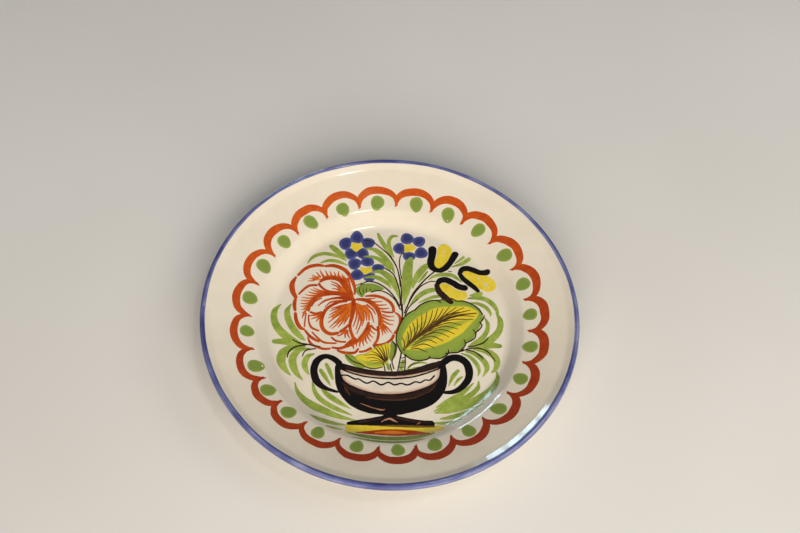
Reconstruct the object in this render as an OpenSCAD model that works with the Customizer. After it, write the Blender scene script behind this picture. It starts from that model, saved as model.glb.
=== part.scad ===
// Hand painted dinner plate: a turned clay body, a white glaze and the painted enamel laid on it.
// Every layer is its own solid. Millimetres, +Z up, origin at the centre of the foot on the table.

/* [Plate] */
// Diameter over the blue edge
plate_d = 250; // [220:1:300]
// Height of the lip above the table
plate_h = 30; // [26:0.5:40]
// Diameter of the flat floor of the well
well_d = 159; // [130:1:184]
// Height of the glazed floor above the table
floor_h = 8.2; // [7:0.1:10]
// Width of the sloping wall round the well
wall_w = 10; // [8:0.5:13]
// Height of the shoulder, where wall and rim meet
shoulder_h = 15.8; // [13:0.1:18]
// Thickness of the clay under the rim
rim_t = 4.6; // [3.5:0.1:6]

/* [Lip] */
// Width of the upturned lip at the edge
lip_w = 7.5; // [6:0.1:9]
// Height that the lip turns up
lip_rise = 3.8; // [3:0.1:5]
// Radius of the rounded edge
lip_r = 1.7; // [1:0.1:2]

/* [Foot] */
// How far the foot ring's outside stands in from the edge of the well's floor
foot_inset = 2.5; // [2:0.5:25]
// Width of the foot ring
foot_w = 6; // [4:0.5:12]
// Height of the foot ring
foot_h = 3; // [2.5:0.1:3.5]
// Height of the bare clay at the bottom of the foot ring
bare_h = 1.2; // [0.9:0.1:1.5]

/* [Glaze and paint] */
// Thickness of the white glaze
glaze_t = 0.4; // [0.3:0.05:0.6]
// Thickness of the enamel
paint_t = 0.3; // [0.2:0.05:0.5]
// Width of the blue band on the inside of the lip
band_w = 3.5; // [2.5:0.1:4]
// Height of the blue band on the outside of the edge
band_h = 4.2; // [4:0.1:5]

/* [Border] */
// Number of scallops, each with a dot under it
scallops = 24; // [16:1:32]
// Turn of the border about the plate's axis
border_turn = 4.3; // [0:0.1:22]
// Bare rim between the shoulder and the tips of the scallops
border_gap = 3.4; // [2:0.1:6]
// Depth of a scallop from crown to tip
scallop_depth = 14; // [10:0.5:15]
// Width of the brush stroke at the crown
crown_w = 4.8; // [3:0.1:6]
// Width of the brush stroke at the tips
tip_w = 1.8; // [1:0.1:3]
// Bare glaze left between the tips of two scallops
tip_gap = 0.8; // [0.5:0.1:2]
// Width of a dot across the rim
dot_w = 8.8; // [6:0.1:10]
// Length of a dot along the radius
dot_l = 10.2; // [8:0.1:11]
// Bare glaze left between a dot and the crown over it
dot_gap = 1.1; // [0.5:0.1:3]

/* [Hidden] */
$fn = 96;

clay_colour = "#b98a63";
white = "#ecdfc8";
blue = "#474c86";
orange = "#cc5f22";
green = "#8ba24a";
yellow = "#e8cf37";
black = "#1f1714";
brown = "#4a3620";
rust = "#b5501f";
blush = "#e6cdb2";

// The glaze lies one coat of paint inside the overall diameter and height
plate_r = plate_d / 2 - paint_t;
lip_h = plate_h - paint_t;
well_r = well_d / 2;
foot_r = well_r - foot_inset;
shoulder_r = well_r + wall_w;
lip_root_r = plate_r - lip_w;
lip_root_h = lip_h - lip_rise;
band_r = plate_r - band_w;
tip_r = shoulder_r + border_gap;
// A dot hangs under the inner edge of its crown
dot_r = tip_r + scallop_depth - crown_w - dot_gap - dot_l / 2;
// The well painting is drawn for a floor of this diameter and grows with the real floor
drawn_well_d = 159;
k = well_d / drawn_well_d;
// Points on each rounded corner, on each stretch between two chosen points of a stroke, on a scallop
// and round an egg shape
corner_steps = 6;
stroke_steps = 3;
scallop_steps = 16;
egg_steps = 18;
// An egg shape is this share narrower towards its pointed end
egg_point = 0.16;
// Thinnest stroke, and a hair's width at its root and at its end
thinnest = 0.3;
hair_w = 0.8;
hair_end_w = 0.4;
// Draft of the foot ring's sides
foot_draft = 0.5;
// Fillets of the face: floor to wall, shoulder, lip root and top of the lip
floor_fillet = 9;
shoulder_fillet = 5;
lip_fillet = 6;
lip_top_fillet = 1.2;
// Fillets of the back: under the lip, under the shoulder, round the foot ring's root and at its bottom
under_lip_fillet = 10;
under_shoulder_fillet = 7;
foot_top_fillet = 1;
foot_fillet = 0.8;

// ---- Paths ----
function xy(p) = [p[0], p[1]];
function unit(v) = v / norm(v);
function left_of(v) = [-v[1], v[0]];
function angle_of(v) = atan2(v[1], v[0]);
function short_turn(a) = a > 180 ? a - 360 : a < -180 ? a + 360 : a;

// Arc of radius r that rounds the corner b between a and c
function corner(a, b, c, r) =
  let (u = unit(a - b), v = unit(c - b))
  let (half = acos(u * v) / 2, hub = b + unit(u + v) * r / sin(half))
  let (first = angle_of(b + u * r / tan(half) - hub))
  let (sweep = short_turn(angle_of(b + v * r / tan(half) - hub) - first))
  [for (i = [0:corner_steps])
    hub + r * [cos(first + sweep * i / corner_steps), sin(first + sweep * i / corner_steps)]];

// Path through [x, y, fillet] corners; its two ends and corners of fillet 0 stay sharp
function rounded(v) =
  [for (i = [0:len(v) - 1])
    each i == 0 || i == len(v) - 1 || v[i][2] == 0
      ? [xy(v[i])]
      : corner(xy(v[i - 1]), xy(v[i]), xy(v[i + 1]), v[i][2])];

function heading(p, i) = unit(p[min(i + 1, len(p) - 1)] - p[max(i, 1) - 1]);
function before(p, i) = i == 0 ? heading(p, 0) : unit(p[i] - p[i - 1]);
function after(p, i) = i == len(p) - 1 ? before(p, i) : unit(p[i + 1] - p[i]);

// The path moved d to its left
function grown(p, d) =
  [for (i = [0:len(p) - 1])
    let (a = left_of(before(p, i)), b = left_of(after(p, i)))
    p[i] + d * (a + b) / (1 + a * b)];

function past_first(p) = [for (i = [1:len(p) - 1]) p[i]];
function backwards(p) = [for (i = [len(p) - 1:-1:0]) p[i]];
function layer(p, from, to) = concat(grown(p, from), backwards(grown(p, to)));

// ---- Plate profile, from the axis outwards, round the edge and back to the axis ----
// Width of the lip's rounded top, inside the edge
lip_top_w = 1.8;
lip_top_r = plate_r - lip_top_w;
lip_slope = lip_rise / (lip_w - lip_top_w);
band_start = [band_r, lip_h - (lip_top_r - band_r) * lip_slope, 0];
band_end = [plate_r, lip_h - band_h, 0];
// The edge runs straight down this far below the blue band
edge_below_band = 1;
// Under the lip and under the shoulder the back's corners stand this far out from the face's
back_out = 1;
// The clay under the lip is this much thicker than under the rim
lip_thicker = 0.3;
under_lip_h = lip_root_h - rim_t - lip_thicker;
// The wall's underside meets the flat underside this far outside the well
under_wall_out = 0.6;
under_wall_r = well_r + under_wall_out;
foot_side = foot_draft * bare_h / foot_h;
glaze_stop = [foot_r + foot_side, bare_h, 0];
inner_stop = [foot_r - foot_w - foot_side, bare_h, 0];
widest_wall_foot_fillet = 4;
wall_foot_flat = under_wall_r - foot_r - foot_draft - foot_top_fillet;
wall_foot_fillet = min(widest_wall_foot_fillet, 2 * wall_foot_flat);
glaze_face = [
  [0, floor_h, 0],
  [well_r, floor_h, floor_fillet],
  [shoulder_r, shoulder_h, shoulder_fillet],
  [lip_root_r, lip_root_h, lip_fillet],
  band_start
];
glaze_edge = [
  band_start,
  [lip_top_r, lip_h, lip_top_fillet],
  [plate_r, lip_h - lip_r, lip_r],
  band_end
];
glaze_back = [
  band_end,
  [plate_r, lip_h - band_h - edge_below_band, lip_top_fillet],
  [lip_root_r + back_out, under_lip_h, under_lip_fillet],
  [shoulder_r + back_out, shoulder_h - rim_t, under_shoulder_fillet],
  [under_wall_r, foot_h, wall_foot_fillet],
  [foot_r + foot_draft, foot_h, foot_top_fillet],
  glaze_stop
];
foot_bottom = [
  glaze_stop,
  [foot_r, 0, foot_fillet],
  [foot_r - foot_w, 0, foot_fillet],
  inner_stop
];
glaze_under = [
  inner_stop,
  [foot_r - foot_w - foot_draft, foot_h, foot_top_fillet],
  [0, foot_h, 0]
];
// These are the outsides of the glaze; the clay lies glaze_t inside them
face_path = rounded(glaze_face);
edge_path = rounded(glaze_edge);
outer_path = concat(face_path, past_first(edge_path), past_first(rounded(glaze_back)));
foot_path = rounded(foot_bottom);
under_path = rounded(glaze_under);

// ---- Brush strokes: chosen points are [x, y, width] ----
function blend(a, b, c, d, t) =
  0.5 * (2 * b + (c - a) * t + (2 * a - 5 * b + 4 * c - d) * t * t + (3 * b - a - 3 * c + d) * t * t * t);

function curve(p) =
  [for (i = [0:len(p) - 2])
    for (s = [0:stroke_steps - 1])
      blend(p[max(i - 1, 0)], p[i], p[i + 1], p[min(i + 2, len(p) - 1)], s / stroke_steps),
    p[len(p) - 1]];

function loop(p) =
  let (n = len(p))
  [for (i = [0:n - 1])
    for (s = [0:stroke_steps - 1])
      blend(p[(i + n - 1) % n], p[i], p[(i + 1) % n], p[(i + 2) % n], s / stroke_steps)];

// Round end of a stroke, from its left side to its right
function cap(p, ahead, w) =
  [for (a = [60:-60:-60]) p + w / 2 * (cos(a) * ahead + sin(a) * left_of(ahead))];

function stroke(points) =
  let (c = curve(points), flat = [for (q = c) xy(q)], n = len(c))
  let (sides = [for (i = [0:n - 1]) left_of(heading(flat, i)) * max(c[i][2], thinnest) / 2])
  concat(
    [for (i = [0:n - 1]) flat[i] + sides[i]],
    cap(flat[n - 1], heading(flat, n - 1), max(c[n - 1][2], thinnest)),
    [for (i = [n - 1:-1:0]) flat[i] - sides[i]],
    cap(flat[0], -heading(flat, 0), max(c[0][2], thinnest))
  );

module brush(points) polygon(k * stroke(points));
module brushes(list) for (points = list) brush(points);
module blob(points) polygon(k * loop(points));
module patch(points) polygon(k * points);

// A closed outline moved d to its left
function loop_grown(p, d) =
  let (n = len(p))
  [for (i = [0:n - 1]) p[i] + d * left_of(unit(p[(i + 1) % n] - p[(i + n - 1) % n]))];

// Egg-shaped petal or dot: centre, angle that its narrow end points to, length and width
function egg(at, turn, l, w) =
  [for (i = [0:egg_steps - 1])
    let (a = 360 * i / egg_steps, u = l / 2 * cos(a), v = w / 2 * sin(a) * (1 - egg_point * cos(a)))
    at + [u * cos(turn) - v * sin(turn), u * sin(turn) + v * cos(turn)]];

// One hair from a to b, bent to its left by a share of its length
function hair(a, b, bend) =
  [[each a, hair_w], [each (a + b) / 2 + bend * left_of(b - a), hair_w], [each b, hair_end_w]];

// Where a scallop's outline is, t of the way round it, for an arch this deep and this wide
function arch(depth, half_angle, t) =
  let (a = half_angle * cos(180 * t), r = tip_r + depth * sin(180 * t))
  [r * cos(a), r * sin(a)];

// ---- Well painting, in millimetres from the centre of the plate ----
lip_top = [[-33, -28.8], [-20, -32], [-8, -34], [4, -34.3], [14, -32.3], [24, -29.5], [35, -25.6]];
bowl_right = [[37.3, -31], [38, -38], [36.9, -46], [33.6, -52.3], [28, -58], [20, -62], [10, -65]];
bowl_left = [
  [-5, -65.8], [-15, -64.4], [-25, -59.6], [-31.7, -52], [-34.8, -45], [-35.7, -37], [-35.5, -31]
];
bowl = concat(lip_top, bowl_right, [[4, -65.9]], bowl_left);
panel_top = [
  [-31.3, -33.6], [-20, -36.2], [-8, -37.8], [4, -37.9], [14, -36.6], [24, -34], [32.2, -31.4]
];
panel_low = [
  [33, -34], [31.4, -39.5], [25.4, -44.6], [14, -49], [2, -51], [-10, -50.2], [-20, -47.3],
  [-28.3, -42.8], [-31, -38.5]
];
panel = concat(panel_top, panel_low);
panel_lines = [
  [[-29.5, -35, 0.9], [-15, -38.9, 0.9], [0, -39.8, 0.9], [12, -38.9, 0.9], [22, -36.4, 0.9],
   [30.5, -33.4, 0.9]],
  [[-29.6, -38.1, 0.8], [-27, -38.1, 0.8], [-22.5, -40.6, 0.9], [-20, -40.4, 0.8], [-15, -43.5, 0.9],
   [-10.4, -41.9, 0.8], [-5.4, -44.4, 0.9], [-0.8, -42.7, 0.8], [3.3, -44.2, 0.9], [7.5, -43.3, 0.8],
   [12, -44.2, 0.9], [17, -41.9, 0.8], [20, -42.3, 0.9], [23.5, -40.2, 0.8], [26.7, -40.2, 0.9],
   [29, -37.2, 1]]
];
handle_left = [
  [-33.6, -28.6, 3.4], [-36.6, -25.6, 3.8], [-41, -24.2, 3.6], [-46.3, -26.8, 4.4], [-49.4, -33, 4.8],
  [-48.6, -39.5, 4.4], [-45, -45, 3.2], [-40, -48, 2], [-35, -49.6, 1.2]
];
handle_right = [
  [35, -27.2, 3.6], [38.8, -24.2, 4.6], [44, -23.3, 5], [49.5, -26, 5], [52.6, -32, 4.8],
  [52, -38.5, 4.4], [48.5, -44, 3.6], [43.5, -48, 2.8], [37.5, -49.3, 2]
];
foot_shape = [
  [-27, -73.6], [-27, -71.5], [-22, -70.3], [-12, -68.6], [-4, -67], [-3, -66], [3.6, -66], [7, -67],
  [14, -68.9], [22, -69.5], [28, -69.8], [29.5, -71.5], [29, -73.6]
];
ground_yellow_strokes = [
  [[-27, -79.6, 3.4], [-23, -77, 5], [0, -76, 4.6], [25, -76, 5], [32, -74.8, 4.8]]
];
ground_red_strokes = [
  [[-23, -79.4, 0.8], [-8, -79.2, 3], [5, -79.1, 4.2], [18, -79.2, 3], [29, -80, 1]]
];
ground_green_strokes = [
  [[-24, -81, 2.2], [-12, -83, 3.2], [2, -84, 3.4], [16, -83.2, 3.2], [26, -81.6, 1.8]],
  [[-20, -85.6, 0.6], [-8, -87.4, 1.3], [2, -88, 1.4], [12, -87.5, 1.1], [20, -86, 0.6]]
];

rose_outer = [
  [[-62.8, 38.6, 1.6], [-57.4, 44.4, 2.2], [-50.5, 46.8, 2.3], [-45.8, 46.4, 1.6]],
  [[-44.2, 46.2, 1.8], [-38, 46.6, 2.4], [-31, 43.2, 2.6], [-26.6, 37, 2.4], [-24, 29, 1.8],
   [-24, 24, 1]],
  [[-64.4, 36.6, 1.4], [-66.6, 31.6, 3], [-66.2, 26, 3.2], [-63.8, 20.8, 2.2]],
  [[-64, 18.6, 2], [-64.4, 15, 2.2], [-63.8, 10.8, 1.8]],
  [[-63.4, 8, 1.9], [-62.6, 2.8, 2.2], [-60, -2.6, 2.2], [-57.4, -4, 1.6]],
  [[-56.2, -5.2, 1.4], [-53.6, -8.6, 1.8], [-50.4, -11.2, 1.8], [-47.2, -13, 1.6]],
  [[-54.4, -10, 0.8], [-52.4, -14.4, 1.6], [-48.2, -17.4, 1.4], [-43.4, -18.6, 1.6],
   [-39.6, -18.3, 1.4]],
  [[-37.9, -17.4, 1.2], [-33.3, -18, 1.8], [-29.2, -16.6, 2], [-26.4, -15, 2.4], [-24, -11.6, 3]],
  [[-34.4, -19.6, 1], [-30.8, -21, 1.9], [-26.7, -21.4, 1.9], [-22.9, -20.8, 1.6], [-20.9, -18.4, 1.4]],
  [[-19.6, -20.3, 1.4], [-16.2, -19.7, 1.5], [-12.6, -17.6, 1.8]],
  [[-10.2, -15.2, 2], [-5.8, -14.5, 1.4], [-1.7, -13, 1.6], [1.6, -10, 1.8], [2.6, -7.6, 1.6]],
  [[-16.6, 22.6, 1], [-10.8, 23.2, 1.9], [-5, 21.8, 1.9], [-0.4, 18.8, 1.9], [2.1, 15, 1.9],
   [2.8, 11.2, 1.8]]
];
rose_inner = [
  [[-50, 30.5, 1.6], [-54.6, 30.1, 1.6], [-58, 27.6, 1.6], [-61.4, 23.4, 1.3]],
  [[-47.4, 33.6, 1.6], [-44.4, 36, 2.6], [-39.6, 36.6, 2.6], [-34.4, 35.6, 2.8], [-30, 31.4, 3.4],
   [-27, 25.4, 3.4]],
  [[-48.4, 31.4, 1.6], [-46.2, 28.4, 1.4], [-42.4, 26, 1.6], [-38, 25.5, 1.4]],
  [[-36.6, 24.2, 2.4], [-42.2, 24, 3], [-47.6, 22.2, 3], [-51.8, 18.6, 2.4], [-53.8, 14.4, 2],
   [-54.4, 11, 1.6]],
  [[-53, 9.4, 1.4], [-49.6, 8.3, 1.6], [-46.4, 9.4, 1.6]],
  [[-27.4, 22.6, 4], [-32, 20.4, 3], [-36.6, 19.8, 1.6], [-42, 18.6, 1.2], [-47.6, 15, 0.8]],
  [[-30, 17.6, 2], [-35, 16, 1.8], [-40, 13.6, 1.8], [-43.8, 9.6, 2.2], [-45.8, 4, 2.4],
   [-45.4, -1.4, 2.4], [-43, -5.6, 2.4], [-38.8, -7.4, 2.3], [-34.8, -6.6, 2]],
  [[-32.6, -5, 1.8], [-29.8, -2.6, 1.8], [-27.6, 0, 1.6]],
  [[-25.2, 18.4, 3], [-25, 12, 2.6], [-25.4, 6, 2.4], [-26.2, 0, 1.8], [-25.6, -5, 1.8],
   [-23.8, -10, 1.8]],
  [[-14.2, 1.8, 1.6], [-15, -2, 2.2], [-17.1, -6.2, 2.2], [-19.6, -9.9, 2], [-21.8, -12, 1.6]],
  [[-12.6, -0.4, 1.4], [-10.6, -2.4, 1.4], [-8.8, -3.6, 1.2]],
  [[-7.8, -1.4, 1.8], [-7.4, -6.2, 1.6], [-8.2, -11, 1.6], [-9.8, -14, 1.8]],
  [[-21.6, 20.2, 1.6], [-16, 19.6, 2.8], [-11.4, 16.6, 3], [-8, 12, 2.6], [-6.3, 6, 2.6],
   [-6.6, 0.4, 2]],
  [[1.8, 10.2, 1.2], [-2, 10.2, 1.4], [-5, 10.9, 1.4]],
  [[4, 10, 1], [6.6, 7.4, 1.7], [7, 2.8, 1.8], [5.4, -2, 1.2], [3.6, -5.6, 1.8]],
  [[-57, -2, 0.8], [-56.9, 2, 0.9], [-56.3, 8.4, 0.8]],
  [[-54.4, 7, 0.9], [-54.2, 2, 1], [-52, -2.6, 1.3], [-47.6, -4.8, 1.2]],
  [[-51.6, -6.2, 0.9], [-48.2, -10, 1.1], [-44.6, -13.2, 1.2], [-40.6, -14.2, 1.2], [-35.6, -14.2, 1]],
  [[-38.6, -9.8, 1], [-36, -12.2, 1.2], [-32.8, -13, 1.2], [-29.4, -13, 1.1]]
];
rose_hub = [-24.6, 18];
// A fan's hairs start this share of the way from its root to the hub
fan_start = 0.38;
// Fans of hairs inside the petals: root, bend and the hairs' ends
rose_fans = [
  [
    [-30, 13],
    0.02,
    [[-40, 10.4], [-41, 7], [-41, 2], [-39.8, -2.4], [-37, -3.4], [-34, -2], [-30.8, 1]]
  ],
  [[-22.4, 8], -0.06, [[-23.2, -1.6], [-21.6, -5.6], [-18.4, -3], [-17.2, 2], [-14.6, 5]]],
  [[-33, 28], 0.1, [[-40, 34], [-39.8, 31.4], [-38.6, 28.4]]],
  [[-12, 18.4], 0.02, [[-9.6, 21], [-5.4, 18.8], [-2.6, 16], [-1, 13.4]]]
];
// Fringes outside the petals: root, end and how many hairs lie between two such hairs
fringe_bend = 0.08;
rose_fringes = [
  [[-50.6, 21.6], [-59, 24.6], [-53.8, 14], [-60, 12], 6],
  [[-44, 37.6], [-49.8, 41.2], [-31.8, 35.6], [-33.6, 40], 7],
  [[-4.6, 6], [3, 4], [-6, -1.6], [-2.2, -6.6], 5],
  [[-14.6, -4.4], [-9.8, -6.8], [-20.4, -12.6], [-21, -16.8], 6]
];

// Blue flowers: centre of the flower, then [x, y, length, width] of each petal
flowers = [
  [
    [-23.2, 62.8],
    [[-23.2, 71.2, 8.6, 8.6], [-31.2, 64.8, 8.4, 9.6], [-14.6, 65.4, 8, 8], [-27.4, 56, 8, 7.6],
     [-18.6, 56.6, 8, 7.6]]
  ],
  [
    [-16.4, 43.4],
    [[-15.6, 50.6, 6.8, 8.4], [-24.4, 48.2, 8.2, 7.4], [-22.6, 39, 9, 7.6], [-8, 45.4, 7.8, 6.2],
     [-14, 37.2, 7.2, 7]]
  ],
  [
    [14, 62.2],
    [[11.6, 70.4, 9, 8.6], [20.8, 68.2, 8.6, 7.4], [6.2, 61.6, 7.4, 8.4], [22.2, 58.6, 8.4, 8],
     [13.6, 55.4, 6.6, 8]]
  ]
];
star_shapes = [
  [[-27.2, 66], [-19.8, 66.2], [-19, 62], [-23.4, 57.4], [-27, 62]],
  [[-20, 46.6], [-12.8, 46.4], [-12.4, 42.2], [-16, 40.6], [-18, 39.2], [-20.6, 43.4]],
  [[10, 65.2], [15.2, 66.3], [18.8, 63], [16, 59.6], [12.6, 59.3], [9.8, 58.4]]
];

tulip_yellow = [
  [[33.6, 63.6], [38.7, 66], [42.8, 62], [42.4, 56.6], [38.6, 50], [33.4, 46.2], [30.4, 49], [32.4, 56]],
  [[50.4, 44.2], [56, 43.6], [62, 41.6], [69, 41], [72.4, 35], [70.4, 28.6], [65, 29.4], [59.4, 33.6],
   [52.6, 38.8]],
  [[34.4, 33.4], [38.4, 34], [43, 31.6], [47.6, 29], [51.6, 27.4], [52.4, 23.4], [49.6, 20.4],
   [44.6, 21], [39.6, 24.6], [36, 28.6]]
];
tulip_black = [
  [[29.6, 61.6, 5.6], [29, 56.6, 4.8], [28, 51.4, 4.8], [29.8, 46.8, 4.4], [34, 44.6, 3.6]],
  [[45.4, 57.6, 4.8], [42.6, 52.6, 4.2], [39.6, 47.8, 4.2], [35.6, 44.8, 3.6]],
  [[48.2, 43, 2.6], [50.4, 46.2, 3.6], [54, 46.6, 4.2], [59, 44.6, 4], [63.4, 43.1, 3.8],
   [66.8, 43.2, 4]],
  [[48, 42, 2.8], [50.2, 38.2, 3.4], [54.2, 34.4, 3.6], [57.8, 31.4, 3.4], [59.8, 29.4, 3]],
  [[32, 34.4, 2.6], [34.4, 36.6, 4.2], [39, 37, 4.6], [44.2, 34.4, 4.4], [48.4, 31.6, 4.2],
   [51.2, 31, 4]],
  [[32, 33, 2.8], [33, 29, 3.4], [36, 24.8, 3.8], [39.4, 21.4, 4.2], [41, 19.6, 4]]
];

leaf_shape = [
  [8, -20.6], [4.6, -11], [6.4, -1], [10.6, 8], [17.6, 13.6], [25.8, 19.9], [34.4, 21], [42, 21.6],
  [50, 20.2], [57.6, 16.8], [62.6, 11], [61.8, 3.6], [58, -4.2], [55.6, -9], [50, -13.8],
  [46.4, -18.2], [39, -20.8], [33.6, -24.6], [27, -24.6], [20.8, -26], [14, -25.2]
];
leaf_yellow = [
  [9, -16], [8.6, -9.6], [13.6, -0.8], [18.4, 5.6], [25, 10.4], [33.4, 14], [43.6, 15.4], [52.4, 15.6],
  [58.6, 12.4], [57, 7], [50.4, -0.4], [45, -5.4], [39.4, -10], [32.6, -13.4], [24.6, -17.4],
  [15.6, -18.2]
];
leaf_edge_w = 0.9;
midrib = [
  [10.4, -16.4, 0.8], [14, -11.4, 1.4], [20, -6.6, 2], [29, 0.2, 2], [37, 5.4, 1.6], [46, 9, 1.2],
  [57, 10.6, 0.8]
];
// Side veins: where each leaves the midrib and where it ends
up_vein_bend = -0.08;
low_vein_bend = 0.14;
veins_up = [
  [[12, -14], [12, -5]],
  [[14.4, -11], [15.6, 2.4]],
  [[18, -8], [18.6, 5]],
  [[22, -5], [24.6, 9.8]],
  [[26, -2], [29, 12.2]],
  [[30, 1], [36, 13.4]],
  [[35, 4.4], [45, 14.6]]
];
veins_low = [
  [[15, -14.6], [24, -16.8]],
  [[17, -12], [30, -13.4]],
  [[20, -9], [34.6, -10.6]],
  [[24, -6], [39, -7.6]],
  [[28, -2.8], [42.6, -4.6]],
  [[33, 1], [46, -0.6]],
  [[39, 5], [54.6, 6]]
];

small_heart = [
  [-21.4, -24], [-16, -22.2], [-9, -18.8], [-4.6, -14.8], [-1, -13.6], [0.6, -16], [-0.4, -22],
  [-2, -28.4], [-8.6, -31.4], [-14, -31.2], [-18.6, -28]
];
small_green = [
  [[-28.6, -22.6], [-25.6, -22.2], [-21.8, -25], [-18.6, -28.8], [-15.4, -32.2], [-20, -31.8],
   [-25, -29], [-28, -26]],
  [[1.4, -13.4], [3, -14.6], [3.4, -18], [2.6, -22.6], [0.8, -26], [0.4, -22], [1.2, -17]]
];
small_leaf_strokes = [
  [[2.4, -12.2, 0.8], [4, -15, 1.2], [3.9, -19, 1.6], [2.9, -23.4, 1.2], [1.8, -27, 0.8], [2.8, -32, 1]],
  [[-4.4, -31.8, 0.9], [-9, -32.6, 0.9], [-13.4, -32.6, 0.8]],
  [[-4, -24, 1], [-7.6, -19.4, 0.9], [-10, -16.6, 0.8]],
  [[-4.6, -25, 0.9], [-10, -21.6, 0.8], [-16, -22.6, 0.5]],
  [[-4, -27, 0.9], [-10, -25.2, 0.8], [-15, -25.4, 0.5]],
  [[-3, -24.6, 1], [-4.6, -19, 0.9], [-5.6, -16, 0.6]],
  [[-2, -25, 1], [-2, -20, 0.8], [-1.6, -16, 0.5]],
  [[-4.4, -28.6, 0.8], [-9, -28, 0.7], [-12.6, -29, 0.5]]
];
curled_shape = [
  [-23, 25.6], [-22.6, 29.4], [-19, 32], [-13, 32.9], [-7.6, 31.4], [-4, 28.6], [-8, 27.4],
  [-13, 26.4], [-16.4, 25], [-18.4, 21.8], [-20.8, 23]
];
curled_veins = [
  [[-20.2, 29.8, 0.6], [-20.8, 27, 0.9], [-20, 25, 0.9], [-19, 23.4, 0.7]],
  [[-17.6, 30, 0.5], [-18.4, 27.8, 0.8], [-18, 25.4, 0.8]],
  [[-15.4, 30, 0.5], [-16.2, 28, 0.8], [-15.8, 26.2, 0.8]],
  [[-13, 29.8, 0.5], [-13.6, 28.2, 0.7], [-13, 27.2, 0.7]],
  [[-10.2, 29, 0.5], [-10.2, 28.2, 0.6]]
];

left_fronds = [
  [[-72.8, 14.8, 0.6], [-76.8, 9, 3.6], [-77.2, 2, 4.4], [-73.6, -5, 5.2], [-67, -10.6, 4.6],
   [-60.6, -14.4, 2.4]],
  [[-65.9, 14.6, 0.6], [-68.6, 9, 3.4], [-67.8, 2, 4], [-63.6, -5, 4.4], [-58.6, -10.2, 2.6],
   [-56.4, -12, 0.6]],
  [[-75.4, -13.8, 3.4], [-70, -13.8, 4], [-65.4, -14.6, 3.4]],
  [[-57, -17.8, 1], [-63, -18.4, 3], [-69.4, -22, 5.4], [-71, -28, 5.6], [-68.4, -34, 3.6],
   [-64, -39, 0.6]],
  [[-53.4, -18.6, 0.8], [-59.4, -20.6, 3], [-62.8, -26, 4.8], [-62.4, -32, 4.6], [-60, -37.6, 3.2],
   [-56.4, -41.6, 0.6]],
  [[-50, -22.9, 1], [-53.6, -24.8, 2.6], [-55.6, -29, 3.4], [-54.6, -34, 3], [-52.8, -37, 0.6]],
  [[-41.3, -30.2, 1.8], [-39.6, -34, 2.2], [-37.8, -38.4, 1.4]],
  [[-45, -34.6, 2], [-42.6, -38.4, 2.4], [-40.4, -42.6, 1.4], [-39, -45.6, 0.5]]
];
right_fronds = [
  [[53.6, 21.6, 0.8], [60, 22.6, 2.4], [66.6, 21, 3], [71, 16.6, 2.6], [72.6, 12.4, 1]],
  [[58, 18.6, 0.6], [63.6, 16.8, 1.6], [67.4, 13, 1.8], [68.6, 9.4, 0.6]],
  [[72.6, 10, 1.4], [74, 5, 3.6], [73.2, -2, 4.2], [69.4, -8, 4.6], [63, -11.8, 2.6]],
  [[64.6, 7.6, 0.8], [65.8, 2, 2.4], [64.2, -4, 2.8], [60.6, -8, 2.6], [56.4, -10.4, 1]],
  [[74.4, -13.8, 3.4], [70, -13.9, 3.8], [66.4, -14.2, 3]],
  [[59, -18.4, 1.6], [65.4, -19.6, 3.6], [70.4, -23, 4], [71.8, -28, 3.6], [70, -32, 2.4],
   [67.8, -33.6, 1]],
  [[51, -19.6, 1], [57, -21.4, 2.6], [62.2, -26, 3], [64.4, -31, 2.8], [61.8, -36.6, 0.6]],
  [[49, -20.6, 0.6], [54, -23.6, 1.8], [58, -28, 2], [59.2, -33, 1.6], [58.5, -36, 0.6]],
  [[45, -33.4, 1.6], [41.8, -37.4, 2.6], [39.6, -43, 0.8]],
  [[48, -37.4, 0.8], [45, -39.8, 1.8], [42.4, -43.8, 0.8]]
];
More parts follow.
